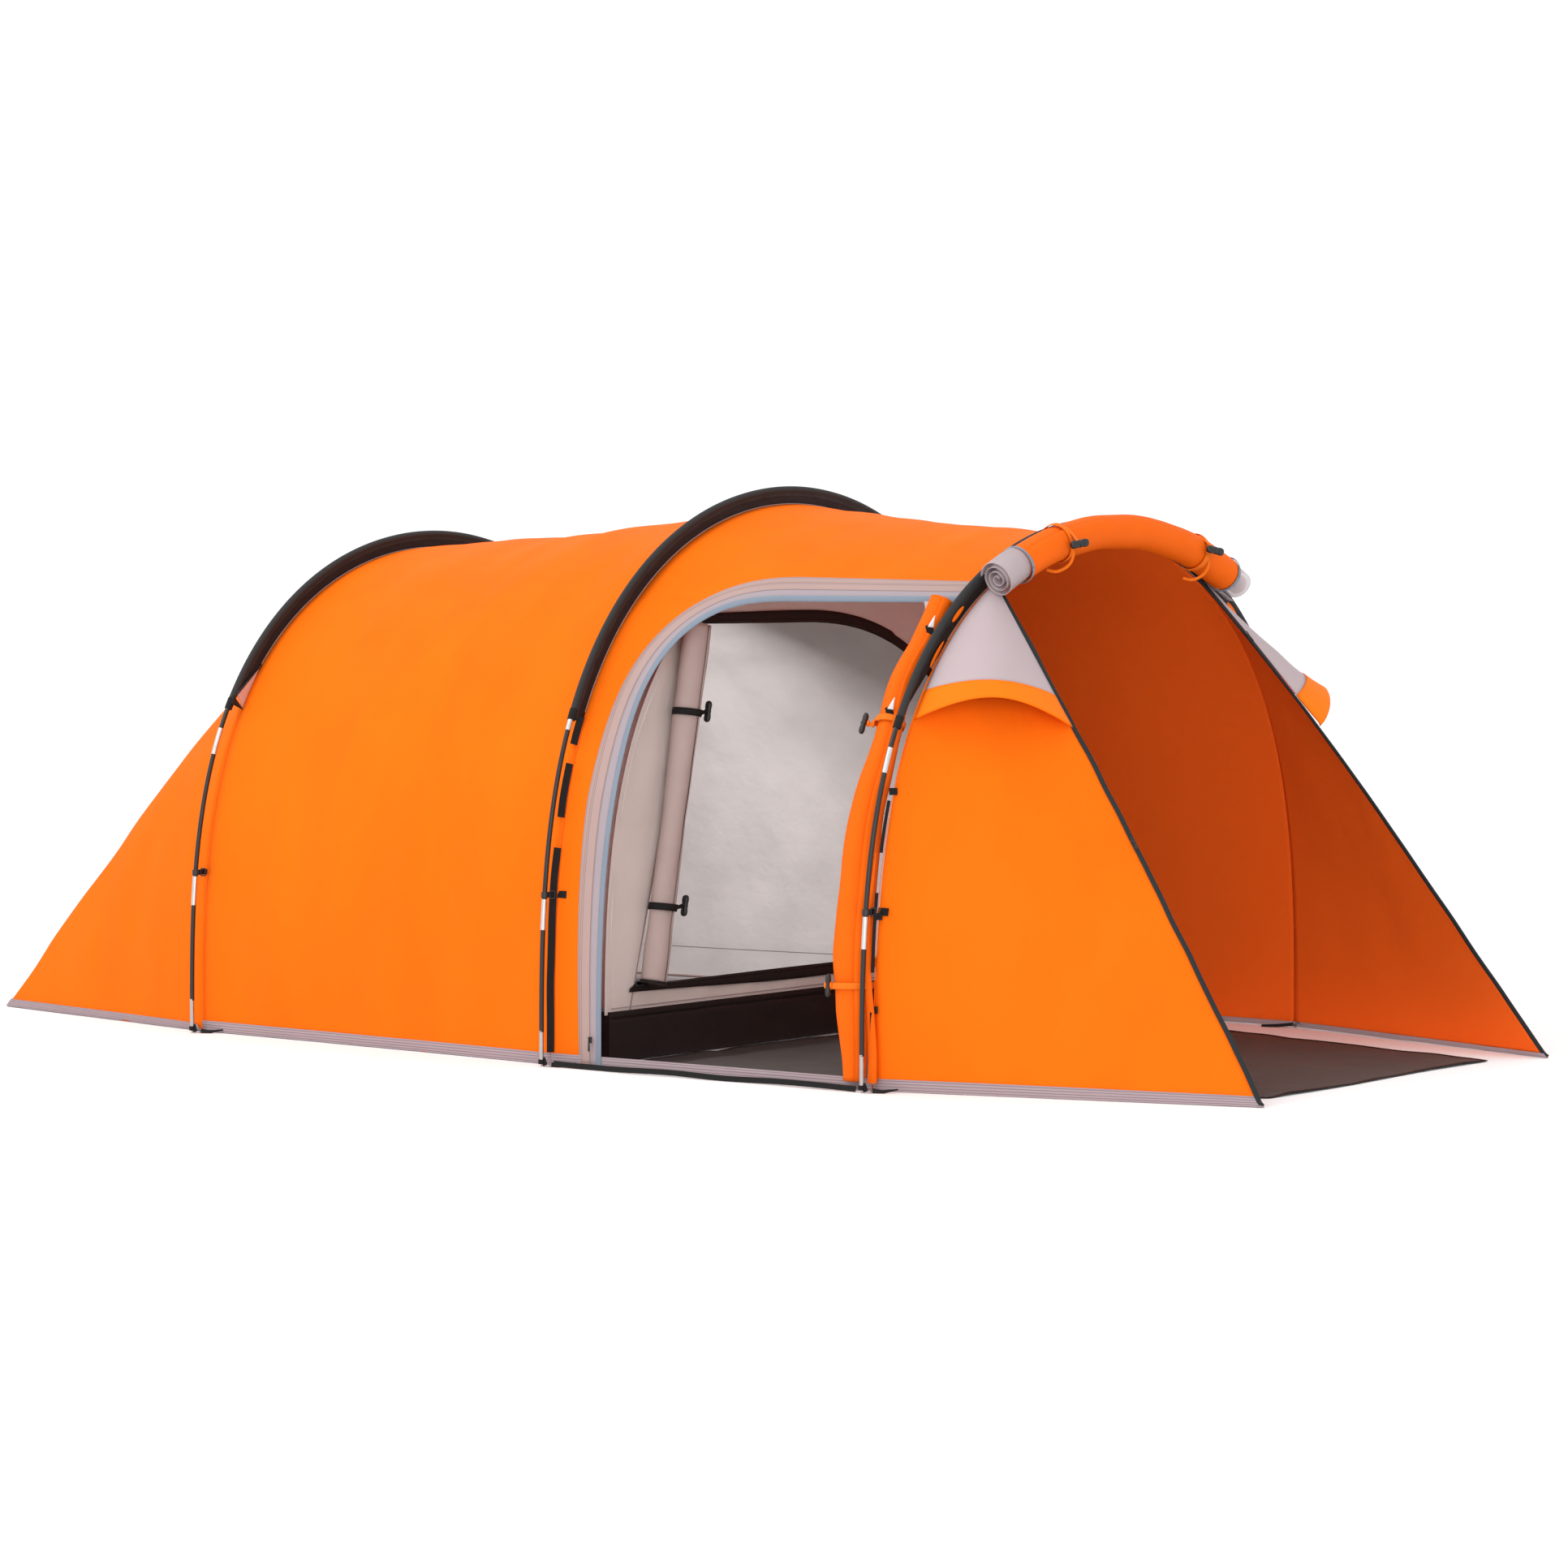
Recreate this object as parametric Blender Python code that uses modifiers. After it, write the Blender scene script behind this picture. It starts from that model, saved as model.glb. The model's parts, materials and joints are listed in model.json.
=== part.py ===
"""Three-hoop tunnel tent, pitched, with its front door and side door rolled up.

Metres, +X towards the porch, +Z up, the side door on -Y. The origin is on the ground,
under the middle of the floor. "near" is the -Y side, "far" is +Y.
"""

import math
from collections import namedtuple

import bmesh
import bpy
from mathutils import Matrix, Vector

# ---------------------------------------------------------------- driving dimensions
Hoop = namedtuple("Hoop", "x half_width height")
HOOPS = {
    "rear": Hoop(-1.186, 1.037, 1.420),
    "mid": Hoop(0.165, 1.095, 1.540),
    "front": Hoop(1.195, 1.061, 1.445),
}
SIDES = {"near": -1, "far": 1}
HEM_REAR = Vector((-2.168, 0.823, 0.0))  # ground corner of the sloping rear end
WING_TIP = Vector((2.168, 0.716, 0.0))  # ground corner of each porch wing
EDGE_TOP = Vector((1.225, 0.490, 1.253))  # where a wing's zip edge meets the rolled awning
EDGE_BOW = 0.016

GAP = 0.0004  # between pieces that touch
FABRIC = 0.002
HEM_Z = 0.002  # the flysheet's lower edge, clear of the ground
POLE_R = 0.0055
POLE_INSET = 0.007  # from a hoop's outer outline to the pole's centre
CANOPY_INSET = 0.050  # from a hoop's outer outline to the seam under it
BEDROOM_SAG, PORCH_SAG = 0.016, 0.012  # of the roof between two hoops
SLEEVE_END_Z = 0.927
FOOT_TUBE_TOP = 0.095
FOOT_TUBE_R = 0.00625
CLIP_Z = 0.452

DOOR_LEFT, DOOR_TOP, DOOR_SILL = 0.322, 1.230, 0.030
DOOR_CORNER = (0.385, 0.480)
INNER_X = 0.270  # the bedroom's front wall
INNER_INSET = 0.140
TUB_HEIGHT = 0.130
TUB_REAR = Vector((-1.980, 0.690, 0.0))
TUB_SHOULDER = 0.905
TUB_FRONT = 0.940

AWNING_R, SIDE_ROLL_R, INNER_ROLL_R = 0.0475, 0.036, 0.028
AWNING_X = HOOPS["front"].x + 0.060
SIDE_ROLL_X = HOOPS["front"].x - 0.050
INNER_ROLL_X = INNER_X + 0.036
TOGGLE_LENGTH, TOGGLE_WIDTH, TOGGLE_DEPTH = 0.058, 0.018, 0.012
STRAP_WIDTH, STRAP_THICK = 0.020, 0.0016
PULL_LENGTH = 0.028
SIDE_ZIP_Y = 1.050  # how far out the side door's zip slider runs
HOOD_MARGIN = 0.018  # a vent hood's front side, behind the zip edge

# ---------------------------------------------------------------- scene and materials
for stale in list(bpy.data.objects):
    bpy.data.objects.remove(stale, do_unlink=True)

parts = bpy.data.collections.new("tunnel_tent")
cutters = bpy.data.collections.new("cutters")
cutters.hide_render = True
for collection in (parts, cutters):
    bpy.context.scene.collection.children.link(collection)


def material(name, colour, roughness, metallic=0.0):
    made = bpy.data.materials.new(name)
    made.use_nodes = True
    shader = made.node_tree.nodes["Principled BSDF"]
    shader.inputs["Base Color"].default_value = (*colour, 1.0)
    shader.inputs["Roughness"].default_value = roughness
    shader.inputs["Metallic"].default_value = metallic
    return made


ORANGE = material("orange_polyester", (1.0, 0.22, 0.02), 0.55)
SLEEVE = material("charcoal_sleeve", (0.03, 0.022, 0.02), 0.6)
GREY_PINK = material("grey_pink_fabric", (0.63, 0.54, 0.55), 0.6)
INNER_GREY = material("breathable_inner", (0.58, 0.54, 0.52), 0.7)
FLOOR_BLACK = material("coated_floor", (0.018, 0.013, 0.012), 0.45)
SHEET_BROWN = material("porch_groundsheet", (0.09, 0.065, 0.055), 0.5)
POLE_BLACK = material("fibreglass_pole", (0.012, 0.012, 0.013), 0.35)
STEEL = material("steel", (0.55, 0.56, 0.56), 0.3, 1.0)
PLASTIC = material("black_plastic", (0.015, 0.015, 0.016), 0.4)
WEBBING = material("black_webbing", (0.02, 0.02, 0.02), 0.7)


# ---------------------------------------------------------------- geometry helpers
def arch_point(x, half_width, height, s):
    """A point of y^2/w^2 + z^3/h^3 = 1: s = 0 at the near foot, 0.5 at the top, 1 at the far foot."""
    angle = math.pi / 2 * (1 - abs(1 - 2 * s)) ** 1.5
    y = math.copysign(half_width * math.cos(angle), 2 * s - 1)
    return Vector((x, y, height * max(math.sin(angle), 0.0) ** (2 / 3)))


def hoop_point(hoop, inset, s, dx=0.0):
    return arch_point(hoop.x + dx, hoop.half_width - inset, hoop.height - inset, s)


def s_at_height(height, z):
    """The near-side arch parameter where an arch of this height reaches z."""
    angle = math.asin((z / height) ** 1.5)
    return (angle / (math.pi / 2)) ** (2 / 3) / 2


def mix(a, b, share):
    return a + (b - a) * share


def steps(count):
    return [i / count for i in range(count + 1)]


def link(name, mesh, surface, smooth=True):
    made = bpy.data.objects.new(name, mesh)
    parts.objects.link(made)
    mesh.materials.append(surface)
    if smooth:
        mesh.shade_smooth()
        mesh.set_sharp_from_angle(angle=math.radians(40))
    return made


def solidify(piece, thickness):
    modifier = piece.modifiers.new("thickness", "SOLIDIFY")
    modifier.thickness = thickness
    modifier.offset = 0.0
    modifier.use_even_offset = True
    return modifier


def loft(name, rows, surface, thickness=FABRIC):
    """A fabric sheet through rows of points, each row with the same number of them."""
    bm = bmesh.new()
    for point in (point for row in rows for point in row):
        point.z = max(point.z, HEM_Z)
    grid = [[bm.verts.new(point) for point in row] for row in rows]
    for lower, upper in zip(grid, grid[1:]):
        for a, b, c, d in zip(lower, lower[1:], upper[1:], upper):
            bm.faces.new((a, b, c, d))
    bmesh.ops.recalc_face_normals(bm, faces=bm.faces)
    mesh = bpy.data.meshes.new(name)
    bm.to_mesh(mesh)
    bm.free()
    piece = link(name, mesh, surface)
    solidify(piece, thickness)
    return piece


def tube(name, points, radius, surface, bevel_resolution=2):
    curve = bpy.data.curves.new(name, "CURVE")
    curve.dimensions = "3D"
    curve.bevel_depth = radius
    curve.bevel_resolution = bevel_resolution
    curve.use_fill_caps = True
    spline = curve.splines.new("POLY")
    spline.points.add(len(points) - 1)
    for knot, point in zip(spline.points, points):
        knot.co = (*point, 1.0)
    curve.materials.append(surface)
    made = bpy.data.objects.new(name, curve)
    parts.objects.link(made)
    return made


def plate(name, outline, thickness, surface, z=0.0):
    """A flat plate with its underside at z, from an outline in plan."""
    curve = bpy.data.curves.new(name, "CURVE")
    curve.dimensions = "2D"
    curve.fill_mode = "BOTH"
    curve.extrude = thickness / 2
    spline = curve.splines.new("POLY")
    spline.points.add(len(outline) - 1)
    for knot, (x, y) in zip(spline.points, outline):
        knot.co = (x, y, 0.0, 1.0)
    spline.use_cyclic_u = True
    curve.materials.append(surface)
    made = bpy.data.objects.new(name, curve)
    made.location.z = z + thickness / 2
    parts.objects.link(made)
    return made


def prism_cutter(name, outline, direction):
    """A closed prism: the outline's points swept along the direction."""
    bm = bmesh.new()
    face = bm.faces.new([bm.verts.new(point) for point in outline])
    swept = bmesh.ops.extrude_face_region(bm, geom=[face])["geom"]
    moved = [item for item in swept if isinstance(item, bmesh.types.BMVert)]
    bmesh.ops.translate(bm, verts=moved, vec=direction)
    bmesh.ops.recalc_face_normals(bm, faces=bm.faces)
    mesh = bpy.data.meshes.new(name)
    bm.to_mesh(mesh)
    bm.free()
    made = bpy.data.objects.new(name, mesh)
    made.hide_render = True
    made.display_type = "WIRE"
    cutters.objects.link(made)
    return made


def boolean(piece, other, operation):
    modifier = piece.modifiers.new(other.name, "BOOLEAN")
    modifier.operation = operation
    modifier.object = other


def frame_on(z_axis, x_axis, place):
    """A matrix with its Z along z_axis and its X as near x_axis as it can be."""
    up = z_axis.normalized()
    side = (x_axis - up * x_axis.dot(up)).normalized()
    rotation = Matrix((side, up.cross(side), up)).transposed()
    return Matrix.Translation(place) @ rotation.to_4x4()


def cylinder_mesh(name, radius, depth, segments=16, bore=0.0):
    """A cylinder along Z about its own centre, or a ring if it has a bore."""
    bm = bmesh.new()
    if not bore:
        bmesh.ops.create_cone(
            bm, cap_ends=True, segments=segments, radius1=radius, radius2=radius, depth=depth
        )
    else:
        rims = []
        for ring_radius, z in ((radius, 1), (radius, -1), (bore, -1), (bore, 1)):
            turn = [math.tau * k / segments for k in range(segments)]
            rims.append(
                [
                    bm.verts.new((ring_radius * math.cos(a), ring_radius * math.sin(a), z * depth / 2))
                    for a in turn
                ]
            )
        for first, second in zip(rims, rims[1:] + rims[:1]):
            for k in range(segments):
                after = (k + 1) % segments
                bm.faces.new((first[k], first[after], second[after], second[k]))
        bmesh.ops.recalc_face_normals(bm, faces=bm.faces)
    mesh = bpy.data.meshes.new(name)
    bm.to_mesh(mesh)
    bm.free()
    return mesh


def box_mesh(name, size, centre=(0, 0, 0)):
    bm = bmesh.new()
    bmesh.ops.create_cube(bm, size=1.0)
    bmesh.ops.scale(bm, vec=size, verts=bm.verts)
    bmesh.ops.translate(bm, vec=centre, verts=bm.verts)
    mesh = bpy.data.meshes.new(name)
    bm.to_mesh(mesh)
    bm.free()
    return mesh


def bevel(piece, width, segments=2):
    modifier = piece.modifiers.new("rounding", "BEVEL")
    modifier.width = width
    modifier.segments = segments
    modifier.limit_method = "ANGLE"


# ---------------------------------------------------------------- hoops and their feet
def build_hoop(position, hoop):
    first = s_at_height(hoop.height - POLE_INSET, FOOT_TUBE_TOP + GAP)
    spans = [mix(first, 1 - first, t) for t in steps(44)]
    tube(f"pole_{position}", [hoop_point(hoop, POLE_INSET, s) for s in spans], POLE_R, POLE_BLACK)

    sleeve_end = s_at_height(hoop.height, SLEEVE_END_Z)
    spans = [mix(sleeve_end, 1 - sleeve_end, t) for t in steps(24)]
    outer, inner = POLE_INSET + POLE_R + 0.002, CANOPY_INSET - FABRIC
    rows = [[hoop_point(hoop, inset, s) for s in spans] for inset in (outer, inner)]
    loft(f"sleeve_{position}", rows, SLEEVE, 0.003)


def build_foot(position, hoop, side_name, side):
    """The steel end tube on the pole with its pin, the peg ring and the clip further up."""
    name = f"{position}_{side_name}"
    foot_y = side * (hoop.half_width - POLE_INSET)
    profile = (
        (0.0, FOOT_TUBE_TOP),
        (FOOT_TUBE_R, FOOT_TUBE_TOP),
        (FOOT_TUBE_R, 0.006),
        (0.002, 0.006),
        (0.002, 0.0005),
        (0.0, 0.0005),
    )
    mesh = bpy.data.meshes.new(f"foot_tube_{name}")
    edges = [(k, k + 1) for k in range(len(profile) - 1)]
    mesh.from_pydata([(r, 0.0, z) for r, z in profile], edges, [])
    tube_piece = link(f"foot_tube_{name}", mesh, STEEL)
    tube_piece.location = (hoop.x, foot_y, 0.0)
    screw = tube_piece.modifiers.new("turn", "SCREW")
    screw.steps = screw.render_steps = 16
    screw.use_merge_vertices = True
    screw.merge_threshold = 0.0001

    ring = link(f"peg_ring_{name}", torus_mesh("peg_ring", 0.0115, 0.0014), STEEL)
    ring.location = (hoop.x + 0.022, foot_y, 0.0018)

    height = hoop.height - POLE_INSET
    s = s_at_height(height, CLIP_Z)
    s = s if side < 0 else 1 - s
    place = hoop_point(hoop, POLE_INSET, s)
    along = hoop_point(hoop, POLE_INSET, s + 0.004) - hoop_point(hoop, POLE_INSET, s - 0.004)
    clip = link(f"pole_clip_{name}", cylinder_mesh("clip_ring", 0.0105, 0.016, 16, 0.0062), PLASTIC)
    clip.matrix_world = frame_on(along, Vector((0, -side, 0)), place)
    reach = CANOPY_INSET - POLE_INSET - FABRIC - 0.008
    tab = bpy.data.objects.new(
        f"clip_tab_{name}", box_mesh("clip_tab", (reach, 0.010, 0.003), (0.008 + reach / 2, 0, 0))
    )
    tab.matrix_world = clip.matrix_world
    tab.hide_render = True
    tab.display_type = "WIRE"
    cutters.objects.link(tab)
    boolean(clip, tab, "UNION")


def torus_mesh(name, major, minor, around=20, across=8):
    bm = bmesh.new()
    rings = []
    for i in range(around):
        turn = math.tau * i / around
        ring = []
        for j in range(across):
            roll = math.tau * j / across
            reach = major + minor * math.cos(roll)
            ring.append(
                bm.verts.new((reach * math.cos(turn), reach * math.sin(turn), minor * math.sin(roll)))
            )
        rings.append(ring)
    for i in range(around):
        here, ahead = rings[i], rings[(i + 1) % around]
        for j in range(across):
            k = (j + 1) % across
            bm.faces.new((here[j], ahead[j], ahead[k], here[k]))
    bmesh.ops.recalc_face_normals(bm, faces=bm.faces)
    mesh = bpy.data.meshes.new(name)
    bm.to_mesh(mesh)
    bm.free()
    return mesh


def build_ground_strap(side_name, side):
    """Webbing along the ground between the feet of the middle and front hoops."""
    mid, front = HOOPS["mid"], HOOPS["front"]
    start = Vector((mid.x + 0.040, side * (mid.half_width - POLE_INSET)))
    end = Vector((front.x - 0.018, side * (front.half_width - POLE_INSET)))
    half = (end - start).orthogonal().normalized() * STRAP_WIDTH / 2
    outline = (start - half, end - half, end + half, start + half)
    plate(f"ground_strap_{side_name}", outline, STRAP_THICK, WEBBING, 0.0002)


# ---------------------------------------------------------------- flysheet
ARCH_STEPS = 22


def tunnel_rows(back, front, sag, count=5):
    """Arch sections from one hoop's seam to the next, hanging lower between them."""
    rows = []
    for share in steps(count):
        slack = 4 * share * (1 - share)
        half_width = mix(back.half_width, front.half_width, share) - CANOPY_INSET - slack * sag * 0.4
        height = mix(back.height, front.height, share) - CANOPY_INSET - slack * sag
        x = mix(back.x + 0.003, front.x - 0.003, share)
        rows.append([arch_point(x, half_width, height, s) for s in steps(ARCH_STEPS)])
    return rows


def rear_hem_point(s, ridge, foot, corner):
    """The U-shaped hem of the rear end: two sides and the straight back edge."""
    near_foot, near_corner = Vector((foot.x, -foot.y, foot.z)), Vector((corner.x, -corner.y, corner.z))
    if s < ridge:
        return near_foot.lerp(near_corner, s / ridge)
    if s > 1 - ridge:
        return foot.lerp(corner, (1 - s) / ridge)
    return near_corner.lerp(corner, (s - ridge) / (1 - 2 * ridge))


def build_rear_end():
    hoop = HOOPS["rear"]
    ridge = s_at_height(hoop.height - CANOPY_INSET, 1.04)
    foot = Vector((hoop.x - 0.003, hoop.half_width - CANOPY_INSET, 0.0))
    spans = sorted(set(steps(ARCH_STEPS)) | {ridge, 1 - ridge})
    rows = []
    for share in steps(5):
        row = []
        for s in spans:
            top = hoop_point(hoop, CANOPY_INSET, s, -0.003)
            row.append(top.lerp(rear_hem_point(s, ridge, foot, HEM_REAR), share))
        rows.append(row)
    loft("fly_rear", rows, ORANGE)


def door_outline():
    """The side door's opening in elevation: a straight side and top with a squarish round corner."""
    across, up = DOOR_CORNER
    power = 2 / 2.8
    outline = [(HOOPS["front"].x + 0.2, DOOR_SILL), (DOOR_LEFT, DOOR_SILL)]
    for turn in steps(10):
        angle = turn * math.pi / 2
        x = DOOR_LEFT + across * (1 - math.cos(angle) ** power)
        outline.append((x, DOOR_TOP - up * (1 - math.sin(angle) ** power)))
    outline.append((HOOPS["front"].x + 0.2, DOOR_TOP))
    return outline


def build_porch():
    porch = loft("fly_porch", tunnel_rows(HOOPS["mid"], HOOPS["front"], PORCH_SAG, 6), ORANGE)
    outline = [Vector((x, -1.3, z)) for x, z in door_outline()]
    boolean(porch, prism_cutter("side_door_cut", outline, Vector((0, 1.0, 0))), "DIFFERENCE")


def edge_point(share, side):
    """A wing's front zip edge, bowed a little forward: 0 at the ground, 1 under the awning."""
    point = WING_TIP.lerp(EDGE_TOP, share)
    point.x += EDGE_BOW * 4 * share * (1 - share)
    point.y *= side
    return point


def wing_back_point(z, side, dx=0.003):
    hoop = HOOPS["front"]
    s = s_at_height(hoop.height - CANOPY_INSET, z)
    return hoop_point(hoop, CANOPY_INSET, s if side < 0 else 1 - s, dx)


def build_wing(side_name, side):
    rows = []
    for share in steps(10):
        back = wing_back_point(share * EDGE_TOP.z, side)
        front = edge_point(share, side)
        rows.append([back.lerp(front, t) for t in steps(4)])
    loft(f"fly_wing_{side_name}", rows, ORANGE)


def build_vent_hood(side_name, side):
    """A hood over the top of a wing: closed at its sides, open below, held out at its rim."""
    out = Vector((0.62, 0.70 * side, 0.35)).normalized()
    rows = []
    for share in steps(6):
        back = wing_back_point(mix(EDGE_TOP.z - 0.02, 0.925, share), side, 0.010)
        front = edge_point(mix(EDGE_TOP.z - 0.02, 0.905, share) / EDGE_TOP.z, side)
        front = front.lerp(back, HOOD_MARGIN / (front - back).length)
        row = []
        for t in steps(8):
            swell = 0.006 + 0.105 * share**0.8 * math.sin(math.pi * t) ** 0.8
            row.append(back.lerp(front, t) + out * swell)
        rows.append(row)
    loft(f"vent_hood_{side_name}", rows, GREY_PINK)


# ---------------------------------------------------------------- bedroom and floors
def tub_plan():
    """The bedroom floor's outline, counter-clockwise from the near front corner."""
    half = [
        Vector((INNER_X + 0.005, TUB_FRONT, 0)),
        Vector((HOOPS["rear"].x, TUB_SHOULDER, 0)),
        Vector((TUB_REAR.x, TUB_REAR.y, 0)),
    ]
    near = [Vector((point.x, -point.y, 0)) for point in reversed(half)]
    return half + near


def build_tub():
    thickness = 0.003
    bm = bmesh.new()
    low = [bm.verts.new((p.x, p.y, thickness / 2)) for p in tub_plan()]
    high = [bm.verts.new((p.x, p.y, TUB_HEIGHT)) for p in tub_plan()]
    bm.faces.new(low)
    for k in range(len(low)):
        after = (k + 1) % len(low)
        bm.faces.new((low[k], low[after], high[after], high[k]))
    bmesh.ops.recalc_face_normals(bm, faces=bm.faces)
    mesh = bpy.data.meshes.new("tub_floor")
    bm.to_mesh(mesh)
    bm.free()
    solidify(link("tub_floor", mesh, FLOOR_BLACK, smooth=False), thickness)


def build_bedroom():
    """The breathable tent inside: roof and sides over the tub's rim, closed at the rear."""
    base = TUB_HEIGHT + 0.003
    mid, rear = HOOPS["mid"], HOOPS["rear"]
    rear_height = rear.height - INNER_INSET
    start = s_at_height(rear_height, base)
    ridge = s_at_height(rear_height, 0.95)
    spans = sorted({mix(start, 1 - start, t) for t in steps(ARCH_STEPS)} | {ridge, 1 - ridge})

    rows = []
    for share in steps(4):
        x = mix(INNER_X - 0.003, rear.x, share)
        height = mix(mid.height, rear.height, share) - INNER_INSET
        half_width = mix(mid.half_width, rear.half_width, share) - INNER_INSET
        row = [arch_point(x, half_width, height, s) for s in spans]
        for end in (row[0], row[-1]):
            end.z = base
        rows.append(row)

    top = rows[-1]
    foot = Vector((rear.x, top[-1].y, base))
    corner = Vector((TUB_REAR.x, TUB_REAR.y, base))
    for share in steps(4)[1:]:
        row = []
        for point, s in zip(top, spans):
            along = (s - start) / (1 - 2 * start)
            hem = rear_hem_point(along, (ridge - start) / (1 - 2 * start), foot, corner)
            row.append(point.lerp(hem, share))
        rows.append(row)
    loft("inner_tent", rows, INNER_GREY)


def inner_door_outline():
    """The D-shaped door: straight hinge side and bottom, the rest a quarter ellipse."""
    left, right, bottom, top = -0.830, 0.720, 0.200, 1.187
    centre = Vector((-0.100, 0.500))
    outline = [(left, bottom), (right - 0.12, bottom), (right, bottom + 0.14)]
    for turn in steps(10):
        angle = turn * math.pi / 2
        y = centre.x + (right - centre.x) * math.cos(angle)
        outline.append((y, centre.y + (top - centre.y) * math.sin(angle)))
    outline.append((-0.557, top))
    return outline


def build_inner_front():
    """The bedroom's front wall, an arch above the tub with the D-shaped doorway in it."""
    base = TUB_HEIGHT + 0.003
    mid = HOOPS["mid"]
    height = mid.height - INNER_INSET
    start = s_at_height(height, base)
    bm = bmesh.new()
    arch = [
        arch_point(INNER_X, mid.half_width - INNER_INSET, height, mix(start, 1 - start, t))
        for t in steps(30)
    ]
    bm.faces.new([bm.verts.new(point) for point in arch])
    mesh = bpy.data.meshes.new("inner_front_wall")
    bm.to_mesh(mesh)
    bm.free()
    wall = link("inner_front_wall", mesh, INNER_GREY, smooth=False)
    solidify(wall, FABRIC)
    outline = [Vector((INNER_X - 0.1, y, z)) for y, z in inner_door_outline()]
    boolean(wall, prism_cutter("inner_door_cut", outline, Vector((0.2, 0, 0))), "DIFFERENCE")


def build_groundsheet():
    back, front = 0.300, 2.080
    outline = ((back, -0.985), (front, -0.545), (front, 0.545), (back, 0.985))
    plate("porch_groundsheet", outline, FABRIC, SHEET_BROWN, 0.0)


# ---------------------------------------------------------------- rolled doors, straps and toggles
def awning_centre(y):
    return Vector((AWNING_X, y, 1.401 - 0.30 * y * y))


def side_roll_centre(z):
    hoop = HOOPS["front"]
    half_width, height = hoop.half_width - 0.045, hoop.height - 0.045
    return Vector((SIDE_ROLL_X, -half_width * math.sqrt(1 - (z / height) ** 3), z))


def inner_roll_centre(z):
    share = (1.164 - z) / (1.164 - 0.235)
    return Vector((INNER_ROLL_X, mix(-0.611, -0.790, share), z))


def build_rolls():
    awning = [awning_centre(mix(-0.545, 0.600, t)) for t in steps(22)]
    tube("awning_roll", awning, AWNING_R, ORANGE, 3)
    side = [side_roll_centre(mix(1.175, 0.036, t)) for t in steps(22)]
    tube("side_door_roll", side, SIDE_ROLL_R, ORANGE, 2)
    inner = [inner_roll_centre(mix(1.164, 0.240, t)) for t in steps(4)]
    tube("inner_door_roll", inner, INNER_ROLL_R, INNER_GREY, 2)


def build_tie(name, centre, along, out, radius, tail, surface, bar):
    """A strap round a roll and the T-toggle on its tail. out points from the roll to the toggle."""
    out = (out - along * out.dot(along) / along.length_squared).normalized()
    place = frame_on(along, out, centre)
    bore = radius + 0.0016
    outer = bore + STRAP_THICK
    strap = link(f"strap_{name}", cylinder_mesh("strap", outer, STRAP_WIDTH, 24, bore), surface)
    strap.matrix_world = place
    if tail:
        reach = tail - TOGGLE_DEPTH / 2 - GAP - bore - 0.0008
        size = (reach, STRAP_THICK, STRAP_WIDTH * 0.8)
        tab = bpy.data.objects.new(
            f"strap_tail_{name}", box_mesh("strap_tail", size, (bore + 0.0008 + reach / 2, 0, 0))
        )
        tab.matrix_world = place
        tab.hide_render = True
        tab.display_type = "WIRE"
        cutters.objects.link(tab)
        boolean(strap, tab, "UNION")
    distance = tail or outer + TOGGLE_DEPTH / 2 + 0.001
    toggle = link(
        f"toggle_{name}", box_mesh("toggle", (TOGGLE_DEPTH, TOGGLE_WIDTH, TOGGLE_LENGTH)), PLASTIC
    )
    toggle.matrix_world = frame_on(bar, out, centre + out * distance)
    bevel(toggle, 0.0055, 2)


def build_ties():
    for name, y in (("awning_near", -0.283), ("awning_far", 0.371)):
        along = Vector((0, 1, -0.6 * y))
        build_tie(name, awning_centre(y), along, Vector((1, 0, 0)), AWNING_R, 0, ORANGE, along)
    for name, z in (("side_upper", 0.905), ("side_lower", 0.262)):
        along = side_roll_centre(z + 0.01) - side_roll_centre(z - 0.01)
        out = Vector((-0.86, -0.51, 0))
        build_tie(name, side_roll_centre(z), along, out, SIDE_ROLL_R, 0.070, ORANGE, along)
    for name, z in (("inner_upper", 0.940), ("inner_lower", 0.422)):
        along = inner_roll_centre(z + 0.01) - inner_roll_centre(z - 0.01)
        out = Vector((0.25, 1, 0))
        build_tie(name, inner_roll_centre(z), along, out, INNER_ROLL_R, 0.074, WEBBING, along)


# ---------------------------------------------------------------- zips
def build_zip(name, place, along, out, lay):
    """A zip slider at place on a straight stretch of zip. Its pull lies towards lay from the hinge."""
    slider = link(f"zip_slider_{name}", box_mesh("zip_slider", (0.006, 0.011, 0.016)), STEEL)
    slider.matrix_world = frame_on(along, out, place)
    bevel(slider, 0.0015, 1)
    size = (0.0016, 0.007, PULL_LENGTH)
    pull = link(f"zip_pull_{name}", box_mesh("zip_pull", size, (0, 0, 0.002 + PULL_LENGTH / 2)), PLASTIC)
    pull.matrix_world = frame_on(lay, out, place + out * 0.0048)
    bevel(pull, 0.0006, 1)


def zip_line_point(share, side):
    """The straight line that follows a wing's bowed zip edge most closely."""
    point = WING_TIP.lerp(EDGE_TOP, share)
    return Vector((point.x + EDGE_BOW - 0.005, point.y * side, point.z))


def build_zips():
    for side_name, share in (("near", 0.502), ("far", 0.900)):
        side = SIDES[side_name]
        along = (zip_line_point(1, side) - zip_line_point(0, side)).normalized()
        back = wing_back_point(share * EDGE_TOP.z, side) - edge_point(share, side)
        out = back.cross(along).normalized() * side
        build_zip(f"front_{side_name}", zip_line_point(share, side) + out * 0.0078, along, out, -along)
    place = Vector((0.300, -SIDE_ZIP_Y, 0.075))
    build_zip("side_door", place, Vector((0, 0, 1)), Vector((0, -1, 0)), Vector((0, 0, -1)))
    place = Vector((INNER_X + 0.0055, 0.100, 0.188))
    build_zip("inner_door", place, Vector((0, 1, 0)), Vector((1, 0, 0)), Vector((0, 0, -1)))


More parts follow.
